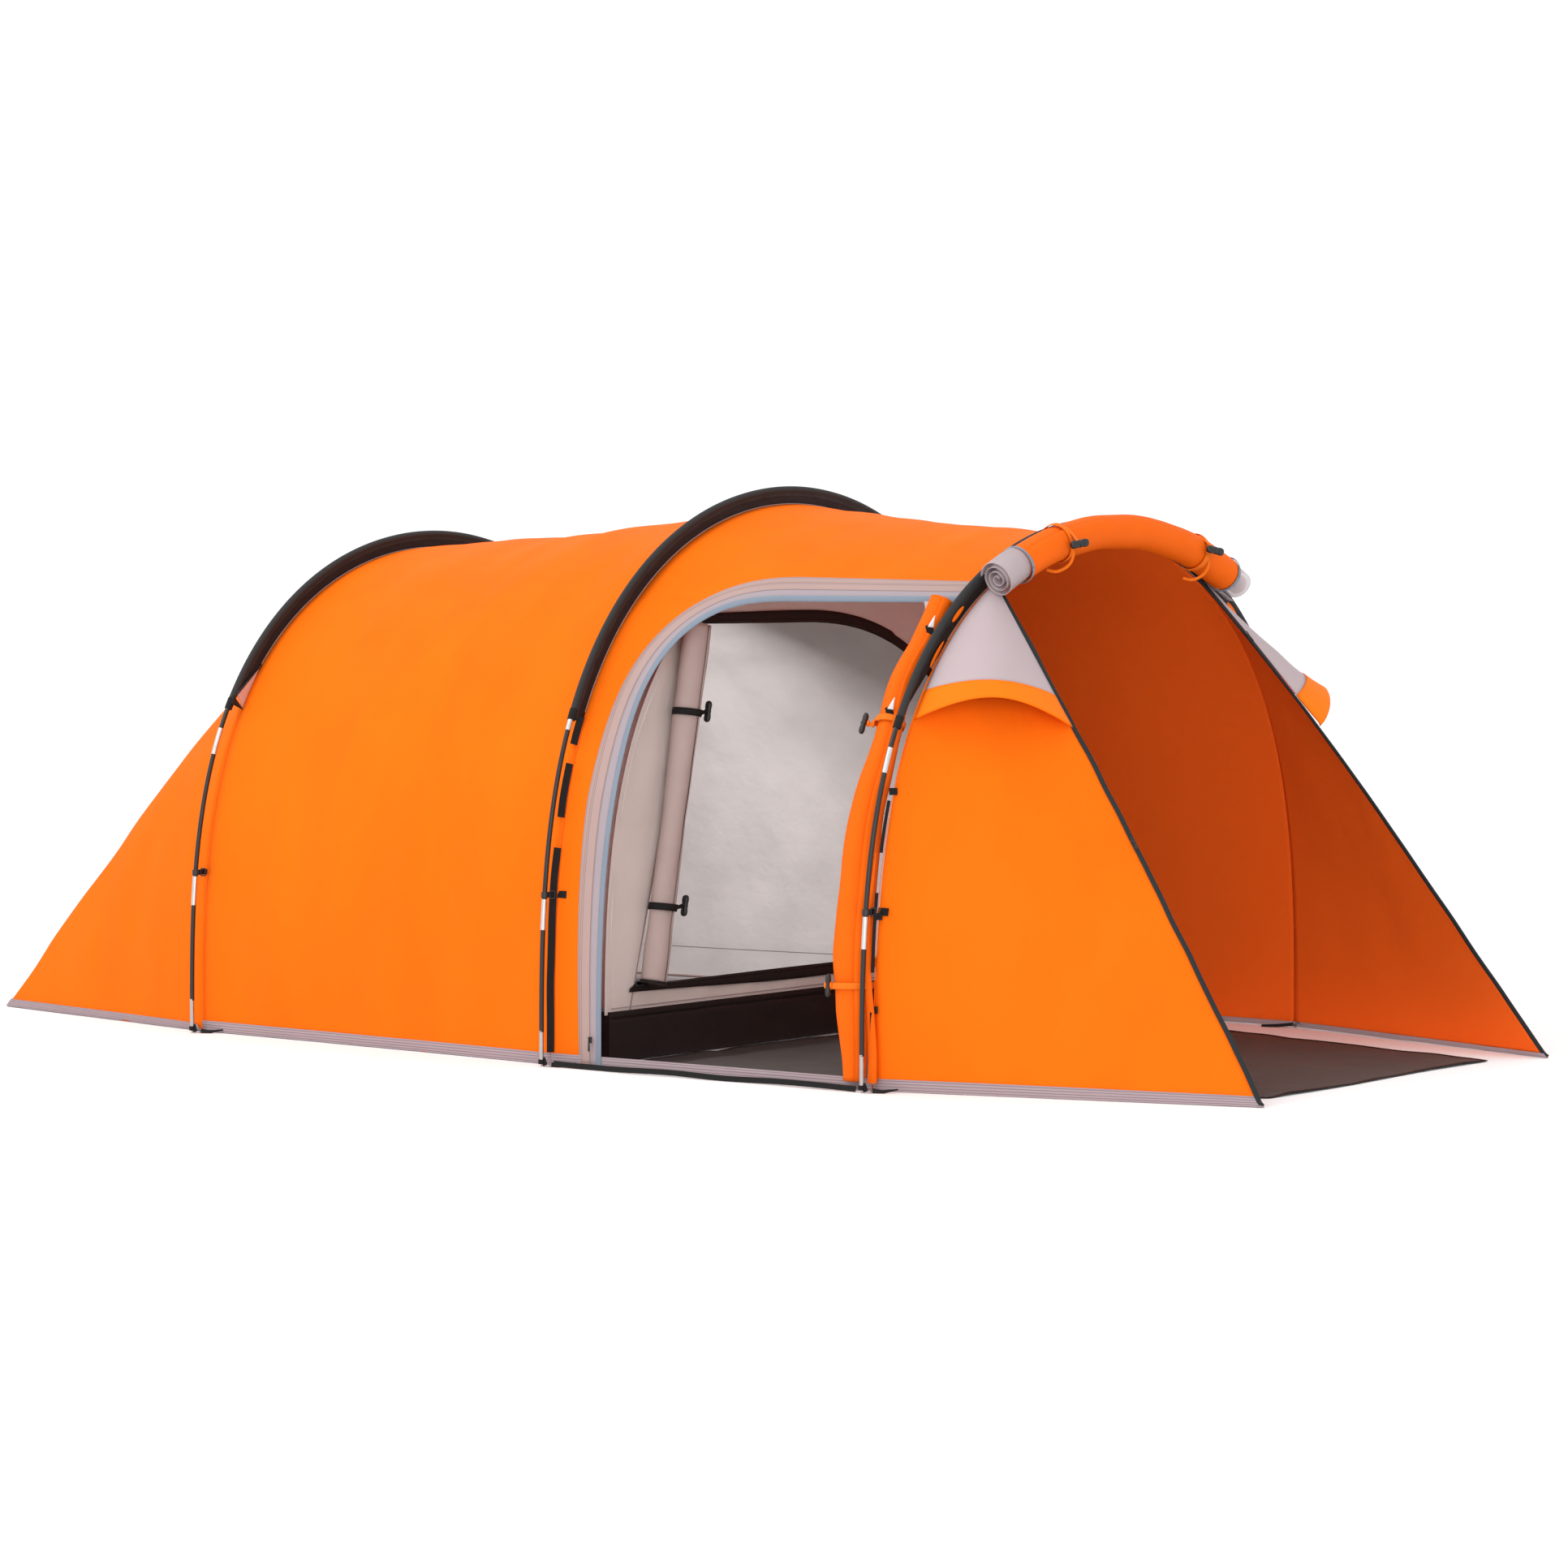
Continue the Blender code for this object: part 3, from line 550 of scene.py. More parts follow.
def porch_point(x, z, proud=0.0):
    """The near side of the porch canopy at (x, z), proud of the cloth by that much."""
    u = (x - MID.x) / (FRONT.x - MID.x)
    _, half_width, height = section(MID, FRONT, PORCH_SAG, u)
    level = np.clip(1 - (z / height) ** 3, 1e-6, 1)
    y = -half_width * np.sqrt(level)
    slope = 1.5 * half_width * z**2 / height**3 / np.sqrt(level)
    turn = np.sqrt(1 + slope**2)
    return np.stack([x + 0 * z, y - proud / turn, z + proud * slope / turn], axis=-1)


def build_porch_fly():
    turn = np.linspace(0, math.pi / 2, 22)[1:]
    corner_z = DOOR_TOP - DOOR_UP * (1 - np.sin(turn) ** (2 / DOOR_POWER))
    low_z = np.concatenate([[HEM_Z, 0.016, HEM_TALL], np.linspace(0.06, DOOR_TOP - DOOR_UP, 24), corner_z])
    sill, left, right = 2, 14, 30
    edge_u = (door_left(low_z) - MID.x) / (FRONT.x - MID.x)
    across = [np.concatenate([np.linspace(0, share, left + 1), np.linspace(share, 1, right + 1)[1:]])
              for share in edge_u]
    low = [porch_point(mix(MID.x, FRONT.x, u), z) for z, u in zip(low_z, across)]
    _, _, height = section(MID, FRONT, PORCH_SAG, across[-1])
    start = s_at(height, DOOR_TOP)
    high = [arch(*section(MID, FRONT, PORCH_SAG, across[-1]), mix(start, 1.0, t))
            for t in np.linspace(0, 1, 140)[1:]]
    points = np.array(low + high)
    out = outward(points[len(low):], (0.7, 0, 0.3))
    out = np.concatenate([np.repeat(out[:1] * (1, 1, 0), len(low), axis=0), out])
    out[: len(low)] = unit(out[: len(low)] + (0, -1e-6, 0))
    x_share = (points[..., 0] - MID.x) / (FRONT.x - MID.x)
    slack = np.clip(6.0 * x_share * (1 - x_share), 0, 1)[..., None]
    slack[: len(low), left:] = 0
    slack[: len(low), :left] *= np.clip(np.linspace(1.6, -0.9, left), 0, 1)[None, :, None]
    rise = np.clip((points[..., 2:] - DOOR_TOP - 0.075) / 0.10, 0, 1)
    rise[: len(low)] = 1
    points = points + out * slack * rise * (
        wobble(points, 0.010, (0.24, 0.7, 0.8), 8) + wobble(points, 0.006, (0.1, 0.4, 0.4), 9))
    points = clamp(points)
    keep = np.ones((points.shape[0] - 1, points.shape[1] - 1), bool)
    keep[sill : len(low_z) - 1, left:] = False
    fly = build("fly_porch_cloth", points, *FLY, keep=keep, thickness=FLY_CLOTH, inner=True,
                centre=(0.7, 0, 0.3), replaces=["fly_porch"])
    foot_out = np.broadcast_to((0.0, -1.0, 0.0), points[0].shape)
    hems = [
        hem("hem_porch_near", points[0], points[sill], foot_out),
        hem("hem_porch_far", points[-1], points[-6], -foot_out),
    ]
    trim = side_door_trim()


def side_door_trim():
    """Tape along the door's edge: up from the ground, round the corner, then on to the front hoop."""
    side = [(DOOR_LEFT, z) for z in np.linspace(HEM_TALL * 0.3, DOOR_TOP - DOOR_UP, 30)[:-1]]
    turn = np.linspace(0, math.pi / 2, 40)
    bend = [(DOOR_LEFT + DOOR_ACROSS * (1 - math.cos(a) ** (2 / DOOR_POWER)),
             DOOR_TOP - DOOR_UP * (1 - math.sin(a) ** (2 / DOOR_POWER))) for a in turn]
    top = [(x, DOOR_TOP) for x in np.linspace(DOOR_LEFT + DOOR_ACROSS, FRONT.x - 0.012, 26)[1:]]
    edge = np.array(side + bend + top)
    gaps = np.concatenate([[0], np.cumsum(np.linalg.norm(np.diff(edge, axis=0), axis=1))])
    even = np.linspace(0, gaps[-1], 150)
    edge = np.stack([np.interp(even, gaps, edge[:, k]) for k in range(2)], axis=1)
    ahead = unit(np.gradient(edge, axis=0))
    aside = np.stack([-ahead[:, 1], ahead[:, 0]], axis=1)
    width = np.interp(even / gaps[-1], [0, 0.35, 0.6, 1], [0.066, 0.084, 0.062, 0.047])

    def band(first, last, proud, count=4):
        rows = []
        for t in np.linspace(0, 1, count):
            away = mix(first, last, t)
            rim = edge + aside * np.broadcast_to(away, width.shape)[:, None]
            lift = proud * (0.35 + 0.65 * math.sin(math.pi * t))
            rows.append(porch_point(rim[:, 0], rim[:, 1], lift + 0.0006))
        return np.stack(rows, axis=1)

    return [
        build("side_door_trim_outer", band(width * 0.40, width, 0.0018, 7), [M["trim_pink"]], "hood_pale",
              thickness=0.0008),
        build("side_door_trim_inner", band(0.006, width * 0.42, 0.0034, 7), [M["trim_grey"]], "hood_pale",
              thickness=0.0008),
        sweep("side_door_piping", porch_point(edge[:, 0], edge[:, 1], 0.003), circle(0.0082, 14, 0.36),
              (0, -1, 0.2), *PIPING),
        triangle("side_door_corner", porch_point(1.045, 1.226, 0.002), porch_point(1.118, 1.226, 0.002),
                 porch_point(1.088, 1.186, 0.002), [M["pale"]], "hood_pale"),
    ]


# ---------------------------------------------------------------- hoops, sleeves and feet
# The upper bright ferrule of each pole, from and to these heights.
FERRULES = {"rear": (0.783, 0.856), "mid": (0.884, 0.920), "front": (0.799, 0.862)}
# The heights where each sleeve's web is at its full depth, and where it ends.
TAPERS = {"rear": (1.035, 0.955), "mid": (0.930, 0.895), "front": (1.130, 0.975)}


def build_hoop(position, hoop):
    height = hoop.height - POLE_INSET
    first = s_at(height, FOOT_TUBE_TOP - 0.004)
    ferrules = [(0.36, 0.441), FERRULES[position]]
    steps = [s_at(height, z) + nudge for pair in ferrules for z in pair for nudge in (-2e-5, 2e-5)]
    s = np.unique(np.concatenate([np.linspace(first, 1 - first, 241), steps, 1 - np.array(steps)]))
    path = on_hoop(hoop, POLE_INSET, s)
    bright = np.any([(path[:, 2] > low) & (path[:, 2] < high) for low, high in ferrules], axis=0)
    profile = np.where(bright, POLE_R + 0.0018, POLE_R + 0.0010)[:, None, None] * circle(1.0, 16)[None]
    slots = np.repeat(bright[:-1, None] & bright[1:, None], 16, axis=1).astype(int)
    sweep(f"pole_{position}_tube", path, profile, (1, 0, 0), [M["pole"], M["ferrule"]], "pole", slots=slots,
          replaces=[f"pole_{position}"])
    build_sleeve(position, hoop)


def build_sleeve(position, hoop):
    """One strip folded round the pole; its web narrows towards its open ends."""
    end = s_at(hoop.height, SLEEVE_END_Z)
    s = np.linspace(end, 1 - end, 260)
    z = on_hoop(hoop, 0.0, s)[:, 2]
    full, low = TAPERS[position]
    narrow = np.clip((z - low) / (full - low), 0, 1) ** 0.8
    centre, radius = 0.0092, 0.0090
    round_part = [(centre - radius * math.cos(a), radius * math.sin(a)) for a in np.linspace(2.5, -2.5, 13)]
    web = [(0.051, 0.0012), (0.046, 0.0016), (0.039, 0.0020), (0.032, 0.0024), (0.026, 0.0030)]
    profile = web + round_part + [(inset, -dx) for inset, dx in reversed(web)]
    rows = []
    for inset, dx in profile:
        reach = inset if inset < 0.022 else mix(0.0185, inset, narrow)
        rows.append(arch(hoop.x + dx, hoop.half_width - reach, hoop.height - reach, s))
    points = np.stack(rows, axis=1)
    pucker = wobble(points, 0.0045, (0.03, 0.045, 0.045), 11 + hoop.x)
    inset = np.array([row[0] for row in profile])
    loose = np.clip(1 - np.abs(inset - 0.031) / 0.016, 0, 1)
    points[..., 0] += pucker[..., 0] * loose
    slots = np.zeros((len(s) - 1, len(profile) - 1), int)
    # The part round the pole gets the lighter material, a painted highlight.
    slots[:, 4:17] = 1
    sleeve = build(f"sleeve_{position}_cloth", points, [M["sleeve"], M["sleeve_rim_highlight"]], "sleeve",
                   slots=slots, thickness=0.0008, replaces=[f"sleeve_{position}"])
    extras = []
    for side_name, side in SIDES.items():
        z = np.linspace(SLEEVE_END_Z - 0.016, SLEEVE_END_Z + 0.012, 6)
        cuff = at_height(hoop, POLE_INSET + 0.002, z, side)
        extras.append(sweep(f"sleeve_cuff_{position}_{side_name}", cuff, circle(0.0108, 16), (1, 0, 0),
                            [M["webbing"]], "sleeve"))
        if position == "rear":
            extras += rear_flap(side_name, side)
        if position == "front":
            extras += sleeve_slots(side_name, side)
    above = s_at(hoop.height - CANOPY_INSET, full)
    s = np.linspace(above, 1 - above, 160)
    extras.append(sweep(f"sleeve_seam_{position}", on_hoop(hoop, CANOPY_INSET - 0.001, s, 0.0025),
                        circle(0.0014, 8), (1, 0, 0), [M["trim_pink"]], "hood_pale"))


def rear_flap(side_name, side):
    """The sleeve's end at the rear hoop: the web folded back on itself over a pink lining."""
    def spot(inset, z, dx):
        return at_height(REAR, inset, z, side, dx)

    return [
        triangle(f"rear_flap_lining_{side_name}", spot(0.012, 0.953, 0.007), spot(0.050, 0.911, 0.009),
                 spot(0.047, 1.030, 0.004), [M["pink_fold"]], "sleeve"),
        triangle(f"rear_flap_fold_{side_name}", spot(0.000, 0.950, 0.010), spot(0.002, 0.926, 0.012),
                 spot(0.052, 0.906, 0.011), [M["sleeve"]], "sleeve", thickness=0.003),
        triangle(f"rear_flap_edge_{side_name}", spot(0.008, 0.957, 0.009), spot(0.014, 0.949, 0.010),
                 spot(0.049, 1.034, 0.006), [M["sleeve_rim_highlight"]], "sleeve"),
    ]


SLOTS = (1.176, 1.216, 0.027, 0.0060), (1.062, 1.128, 0.036, 0.0045)  # from, to, inset, half width


def sleeve_slots(side_name, side):
    """Two slots in the front sleeve's web, where the orange fly shows through."""
    made = []
    for number, (low, high, inset, wide) in enumerate(SLOTS):
        z = np.linspace(low, high, 17)
        bulge = np.sqrt(np.clip(1 - np.linspace(-1, 1, 17) ** 2, 0.02, 1))
        rows = [at_height(FRONT, inset, z, side, 0.0072)
                + np.array([0, side, 0.6]) * (bulge * wide * t)[:, None] for t in np.linspace(-1, 1, 5)]
        made.append(build(f"sleeve_slot_{number}_{side_name}", np.stack(rows, axis=1), [M["orange"]],
                          "fly_orange", thickness=FLY_CLOTH))
    return made


def build_foot(position, side_name, side):
    """What joins the fly to one end of a pole: a seam beside it, a clip and a peg ring."""
    hoop, name = HOOPS[position], f"{position}_{side_name}"
    seam = at_height(hoop, CANOPY_INSET - 0.0004, np.linspace(HEM_TALL, SLEEVE_END_Z, 50), side, 0.006)
    sweep(f"hoop_seam_{name}", seam, circle(0.0011, 8, 0.6), (1, 0, 0), [M["orange_inside"]], "fly_orange")
    build_clip(name, hoop, side)
    build_peg_ring(position, name, hoop, side)


def build_clip(name, hoop, side):
    """The clip on the pole and the webbing tab that ties it to the fly."""
    pole = at_height(hoop, POLE_INSET, CLIP_Z, side)
    cloth_at = at_height(hoop, CANOPY_INSET + 0.002, CLIP_Z, side)
    inward = unit(cloth_at - pole)
    gripped = at_height(hoop, POLE_INSET, np.linspace(CLIP_Z - 0.008, CLIP_Z + 0.008, 7), side)
    ring = sweep(f"clip_ring_{name}", gripped, circle(0.0094, 24), (1, 0, 0), *PLASTIC,
                 replaces=[f"pole_clip_{name}"])
    ring.modifiers.new("rounding", "BEVEL").width = 0.0012
    tape(f"clip_tab_{name}", line(pole + inward * 0.006, cloth_at, count=5), (1, 0.1, 0), 0.015, *WEBBING)
    patch = cloth_at + np.array([0.006, 0, 0])
    tape(f"clip_patch_{name}", line(patch, patch + (0.030, 0, 0), count=4), (0, side, 0.15), 0.020,
         *WEBBING, thickness=0.0030)
    loop = 0.010 * circle(1.0, 20, power=0.4)
    centre = mix(pole, cloth_at, 0.52) + np.array([0.006, 0, 0])
    across = unit(inward + np.array([0.8, 0, 0]))
    buckle = centre + loop[:, :1] * across * 0.7 + loop[:, 1:] * np.array([0, 0, 1.0])
    closed_tube(f"clip_buckle_{name}", buckle, 0.0019, np.cross(across, (0, 0, 1)), *PLASTIC)


def build_peg_ring(position, name, hoop, side):
    """The ring that a peg goes through, on its own joint, and the webbing that holds it."""
    low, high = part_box(f"peg_ring_{name}")
    centre = np.array((low + high) / 2)
    turn = circle(0.0115, 40)
    path = np.concatenate([turn, np.zeros((40, 1))], axis=1) + centre
    closed_tube(f"ring_{name}", path, 0.0014, (0, 0, 1), *STEEL, body=f"peg_ring_{name}",
                replaces=[f"peg_ring_{name}"], sides=14)
    post = np.array([hoop.x, side * (hoop.half_width - POLE_INSET), 0.0])
    start = post + np.array([0.004, 0, 0.012])
    held = centre + np.array([-0.0095, 0, 0.0012])
    tape(f"foot_loop_{name}", curve(start + (0, 0, 0.010), start + (0.006, 0, -0.003), held, count=10),
         (0, side, 0.4), 0.014, *WEBBING, thickness=0.0024)
    hem_at = np.array([hoop.x + 0.085, side * (hoop.half_width - CANOPY_INSET + 0.004), 0.010])
    route = curve(centre + (0.0085, -side * 0.004, 0.003),
                  mix(centre, hem_at, 0.4) + (0.006, 0, -0.001), hem_at, count=14)
    narrow = np.linspace(1.0, 0.25, 14)[:, None, None]
    flat = np.array([(-0.0085, -0.0012), (-0.008, 0.0012), (0.008, 0.0012), (0.0085, -0.0012)])
    strip = narrow * flat[None]
    sweep(f"foot_strap_{name}", route, strip, (0, side, 0.5), *WEBBING, sharp=30)
    if position == "front":
        seat = np.array([hoop.x + 0.004, side * (hoop.half_width - CANOPY_INSET - 0.016), 0.010])
        inner = curve(seat + (-0.085, -side * 0.035, -0.008), seat + (-0.040, -side * 0.018, -0.005), seat,
                      count=12)
        tape(f"inner_strap_{name}", inner, (0.3, -side, 0.6), 0.010, *WEBBING)
        turn = circle(0.009, 24)
        ring = (seat + (0.010, 0, 0) + turn[:, :1] * np.array([1.0, 0, 0])
                + turn[:, 1:] * np.array([0, 0.5, 0.8]))
        closed_tube(f"inner_ring_{name}", ring, 0.0014, (0, -0.8, 0.5), *STEEL)
    collar = post + np.array([0, 0, 1.0]) * np.linspace(0.006, 0.018, 5)[:, None]
    sweep(f"foot_collar_{name}", collar, circle(0.0088, 20), (1, 0, 0), *WEBBING)


def closed_tube(name, path, radius, up, surfaces, slot, sides=10, **options):
    """A thin tube round a closed path."""
    path = np.asarray(path, float)
    ahead = unit(np.roll(path, -1, axis=0) - np.roll(path, 1, axis=0))
    up = np.broadcast_to(np.asarray(up, float), path.shape)
    side = np.cross(ahead, up)
    profile = circle(radius, sides)
    points = path[:, None] + profile[None, :, :1] * side[:, None] + profile[None, :, 1:] * up[:, None]
    points = np.concatenate([points, points[:1]])
    return build(name, points, surfaces, slot, ring=True, **options)


# ---------------------------------------------------------------- porch wings, zip edges and vent hoods
def edge_point(share, side):
    """The wing's front edge, bowed a little forward: 0 at the ground, 1 under the awning."""
    share = np.asarray(share, float)[..., None]
    point = mix(np.array([WING_TIP[0], WING_TIP[1], 0.0]), EDGE_TOP, share)
    point = point + np.array([EDGE_BOW, 0, 0]) * 4 * share * (1 - share)
    if side > 0:
        point = point + np.array([0.009, 0.018, 0]) * np.sin(math.pi * np.clip(share, 0, 1) ** 1.8)
    return point * (1, side, 1)


def wing_grid(side, shares, ts):
    """The near wing's rear edge stands off the front hoop below its sleeve; the far one is sewn to it."""
    z = shares * EDGE_TOP[2]
    ease = np.clip(np.sin(np.clip((z - 0.10) / 0.83, 0, 1) * math.pi), 0, 1)
    gap = 0.004 + 0.006 * ease if side < 0 else -0.003
    back = at_height(FRONT, CANOPY_INSET, z, side, gap)
    front = edge_point(shares, side)
    return mix(back[:, None], front[:, None], ts[None, :, None])


def build_wing(side_name, side):
    shares, ts = np.linspace(0, 1, 60), np.linspace(0, 1, 40)
    points = wing_grid(side, shares, ts)
    centre = (1.2, 0, 0.2)
    out = outward(points, centre)
    calm = np.sin(math.pi * ts)[None, :, None] * np.clip(np.sin(math.pi * shares), 0.1, 1)[:, None, None]
    points = points + out * calm * (
        0.010 + wobble(points, 0.010, (0.30, 0.30, 0.5), 15) + wobble(points, 0.005, (0.12, 0.12, 0.3), 16))
    points = clamp(points)
    wing = build(f"fly_wing_{side_name}_cloth", points, *FLY, thickness=FLY_CLOTH, inner=True,
                 centre=centre, replaces=[f"fly_wing_{side_name}"])
    strip = hem(f"hem_wing_{side_name}", points[0], points[3], out[0])
    shares = np.linspace(0.0, 1.03, 110)
    edge = edge_point(shares, side)
    inward = unit(wing_grid(side, shares, np.array([0.0]))[:, 0] - edge)
    face = unit(np.cross(np.gradient(edge, axis=0), inward)) * -side
    edge = edge + wobble(edge, 0.0040, (0.2, 0.2, 0.10), 18) * inward
    edge = clamp(edge, 0.006)
    width = 0.010
    band = np.stack([edge + inward * width * t + face * (0.0022 + 0.0012 * math.sin(math.pi * t))
                     for t in np.linspace(0, 1, 6)], axis=1)
    zip_band = build(f"zip_tape_{side_name}", band, *ZIP_TAPE, thickness=0.0024)
    cord = sweep(f"zip_piping_{side_name}", edge + face * 0.0005, circle(0.0031, 12), (0, 0, 1), *ZIP_TAPE)
    lining = np.stack([edge + inward * (0.001 + width * 1.1 * t) - face * 0.0022
                       for t in (0, 0.5, 1)], axis=1)
    inner_band = build(f"zip_lining_{side_name}", lining, *ZIP_TAPE, thickness=FLY_CLOTH)


def hood_out(side, up=0.35):
    """The way that a hood stands out of its wing."""
    return unit(np.array([0.62, 0.70 * side, up]))


def hood_grid(side, shares, ts):
    """shares is rows x columns: 0 at the hood's top, 1 at its rim."""
    top = EDGE_TOP[2] + 0.020
    back = at_height(FRONT, CANOPY_INSET, mix(top, 0.925, shares), side, 0.010)
    front = edge_point(mix(top, 0.905 if side < 0 else 0.875, shares) / EDGE_TOP[2], side)
    reach = np.linalg.norm(front - back, axis=-1, keepdims=True)
    front = mix(front, back, 0.010 / reach)
    full, early = (0.105, 0.8) if side < 0 else (0.128, 1.9)
    swell = 0.008 + full * shares**early * np.sin(math.pi * ts) ** 0.8
    return mix(back, front, ts[..., None]) + hood_out(side) * swell[..., None]


def build_hood(side_name, side):
    ts = np.linspace(0, 1, 37)[None, :]
    bow = np.sin(math.pi * ts)
    seam = 0.789 - 0.018 * bow
    shares = np.linspace(0.0, 1, 26)[:, None] * seam
    centre = (1.2, 0, 0.6)
    ts_full = np.broadcast_to(ts, shares.shape)
    points = hood_grid(side, shares, ts_full)
    out = outward(points, centre)
    points = points + out * np.clip(bow, 0, 1)[..., None] * wobble(points, 0.006, (0.12, 0.12, 0.1), 21)
    hood = build(f"hood_{side_name}_cloth", points, [M["pale"], M["trim_grey"]], "hood_pale",
                 thickness=FLY_CLOTH, inner=True, centre=centre, replaces=[f"vent_hood_{side_name}"])
    lower = 1.0 - 0.095 * bow
    shares = seam - 0.006 + (lower - seam + 0.006) * np.linspace(0, 1, 10)[:, None]
    ts_full = np.broadcast_to(ts, shares.shape)
    points = hood_grid(side, shares, ts_full)
    roll = np.linspace(0, 1, 10)[:, None, None]
    points = points + hood_out(side) * (0.002 + 0.006 * roll**2)
    points[-1] -= hood_out(side, 0.0) * 0.006
    brim = build(f"hood_brim_{side_name}_cloth", points, [M["orange_brim"], M["orange_inside"]],
                 "fly_orange", thickness=0.0045, inner=True, centre=centre)


# ---------------------------------------------------------------- rolled doors
def awning_centre(y):
    x = (AWNING_LOW.x + AWNING_HIGH.x) / 2
    return np.stack([np.full_like(y, x), y, 1.412 - AWNING_DROP * y * y], axis=-1)


def side_roll_centre(z):
    """The roll follows the front hoop, then leans straight out of its open top."""
    z = np.asarray(z, float)
    half_width, height = FRONT.half_width - 0.045, FRONT.height - 0.045
    bent = np.minimum(z, 1.11)
    y = -half_width * np.sqrt(1 - (bent / height) ** 3) + 0.62 * (z - bent)
    bow = 0.014 * np.clip(np.sin(np.clip((z - 0.08) / 0.84, 0, 1) * math.pi), 0, 1)
    bow = bow + 0.017 * np.exp(-(((z - 1.05) / 0.13) ** 2))
    return np.stack([FRONT.x - 0.050 - bow, y, z], axis=-1)


def side_roll_radius(z):
    return np.interp(z, [0.02, 0.09, 0.20, 0.34, 0.50, 0.66, 0.78, 0.88, 1.00, 1.24],
                     [0.031, 0.037, 0.049, 0.053, 0.048, 0.048, 0.044, 0.038, 0.035, 0.030])


def inner_roll_centre(z):
    share = (1.164 - z) / (1.164 - 0.235)
    return np.stack([np.full_like(z, INNER_X + 0.036), mix(-0.611, -0.790, share), z], axis=-1)


def roll_at(centre_of, z):
    """A standing roll's centre at this height, and the way that it runs there."""
    low, middle, high = centre_of(np.array([z - 0.01, z, z + 0.01]))
    return middle, unit(high - low)


def rolled(name, path, up, inner, outer, turns, surfaces, slot, thickness, start=0.0, uneven=0.03, seed=1,
           stretch=1.0, **options):
    """Cloth wound on itself: a spiral carried along a path, a little uneven along its length."""
    count = int(turns * 26)
    base = spiral(inner, outer, turns, count, start)
    swell = 1 + wobble(path, uneven, (0.12, 0.12, 0.12), seed)[:, :, None]
    angle = np.linspace(0, math.tau * turns, count)
    lobes = 1 + uneven * 0.8 * np.sin(2 * angle[None, :, None] + path[:, 2][:, None, None] * 9)
    profile = base[None] * swell * lobes * stretch
    return sweep(name, path, profile, up, surfaces, slot, ring=False, thickness=thickness, **options)


def strap_round(name, centre, ahead, radius, width, surfaces, slot, lumps=0.0008, body="root", **options):
    """A band of webbing drawn tight round a roll."""
    ahead = unit(np.array(ahead, float))
    first = unit(np.cross(ahead, (0.13, 0.31, 0.94)))
    second = np.cross(ahead, first)
    turn = np.linspace(0, math.tau, 49)
    rows = []
    for t in np.linspace(-1, 1, 5):
        reach = radius + 0.0010 * (1 - t * t) + lumps * np.sin(3 * turn + t)
        rows.append(centre + ahead * width / 2 * t + reach[:, None] * (
            np.cos(turn)[:, None] * first + np.sin(turn)[:, None] * second))
    return build(name, np.stack(rows, axis=1), surfaces, slot, thickness=0.0014, body=body, centre=centre,
                 **options)


def toggle_axes(name):
    """Centre and long, wide and deep directions of a toggle's CAD solid."""
    spots = np.array([v.co for v in frame["nodes"][name].data.vertices])
    _, _, axes = np.linalg.svd(spots - spots.mean(0), full_matrices=False)
    lengths = [np.ptp(spots @ axis) for axis in axes]
    order = np.argsort(lengths)[::-1]
    centre = sum(axis * (np.max(spots @ axis) + np.min(spots @ axis)) / 2 for axis in axes)
    return centre, [axes[k] for k in order], [lengths[k] for k in order]


def build_toggle(name, lean=0.0):
    """A moulded T-bar: fat rounded ends and a narrower waist with a band round it."""
    centre, (along, across, deep), (length, width, depth) = toggle_axes(f"toggle_{name}")
    if lean:
        along, deep = along * np.sign(along[1]), deep * np.sign(deep[0])
        turned = along * math.cos(lean) + deep * math.sin(lean)
        centre, deep, along = centre + deep * 0.014, deep * math.cos(lean) - along * math.sin(lean), turned
    t = np.linspace(-1, 1, 41)
    swell = (1 - np.abs(t) ** 8) ** (1 / 2.2) * (0.93 + 0.07 * np.cos(math.pi * (np.abs(t) - 0.62) / 0.62))
    swell = np.maximum(swell, 0.2)
    oval = circle(width * 0.60, 28, depth / width, 0.75)
    path = centre + along * (t * (length / 2))[:, None]
    profile = swell[:, None, None] * oval[None]
    sweep(f"toggle_{name}_bar", path, profile, deep, *PLASTIC, body=f"toggle_{name}",
          replaces=[f"toggle_{name}"])
    turn = np.linspace(0, math.tau, 33)[:-1]
    loop = (centre + np.cos(turn)[:, None] * across * (width / 2 * 0.86)
            + np.sin(turn)[:, None] * deep * (depth / 2 * 0.92))
    closed_tube(f"toggle_{name}_waist", loop, 0.0030, along, *PLASTIC, body=f"toggle_{name}")
    return centre, deep


def build_awning():
    low, high = AWNING_LOW.y + 0.003, AWNING_HIGH.y - 0.003
    first, last = low + 0.092, high - 0.082
    y = np.linspace(first, last, 90)
    path = awning_centre(y)
    path = path + wobble(path, 0.004, (1, 0.16, 1), 31) * np.array([0.4, 0, 1.0])
    roll = rolled("awning_roll_cloth", path, (0, 0, 1), 0.008, 0.0478, 7, *ROLLED, 0.0012, start=0.9,
                  uneven=0.025, seed=31, replaces=["awning_roll"])
    for name, seam_at, start, end, spin in (("near", first, low, first + 0.008, 0.4),
                                            ("far", last, last - 0.008, high - 0.014, 2.2)):
        y = np.linspace(start, end, 14)
        film = rolled(f"awning_film_{name}", awning_centre(y), (0, 0, 1), 0.007, 0.0490, 3.4, [M["film"]],
                      "hood_pale", 0.0016, start=spin, uneven=0.05, seed=33)
        ring_centre = awning_centre(np.array([seam_at]))[0]
        ahead = np.array([0, 1, -2 * AWNING_DROP * seam_at])
        strap_round(f"awning_piping_{name}", ring_centre, ahead, 0.0502, 0.009, *PIPING)
    build_awning_straps()


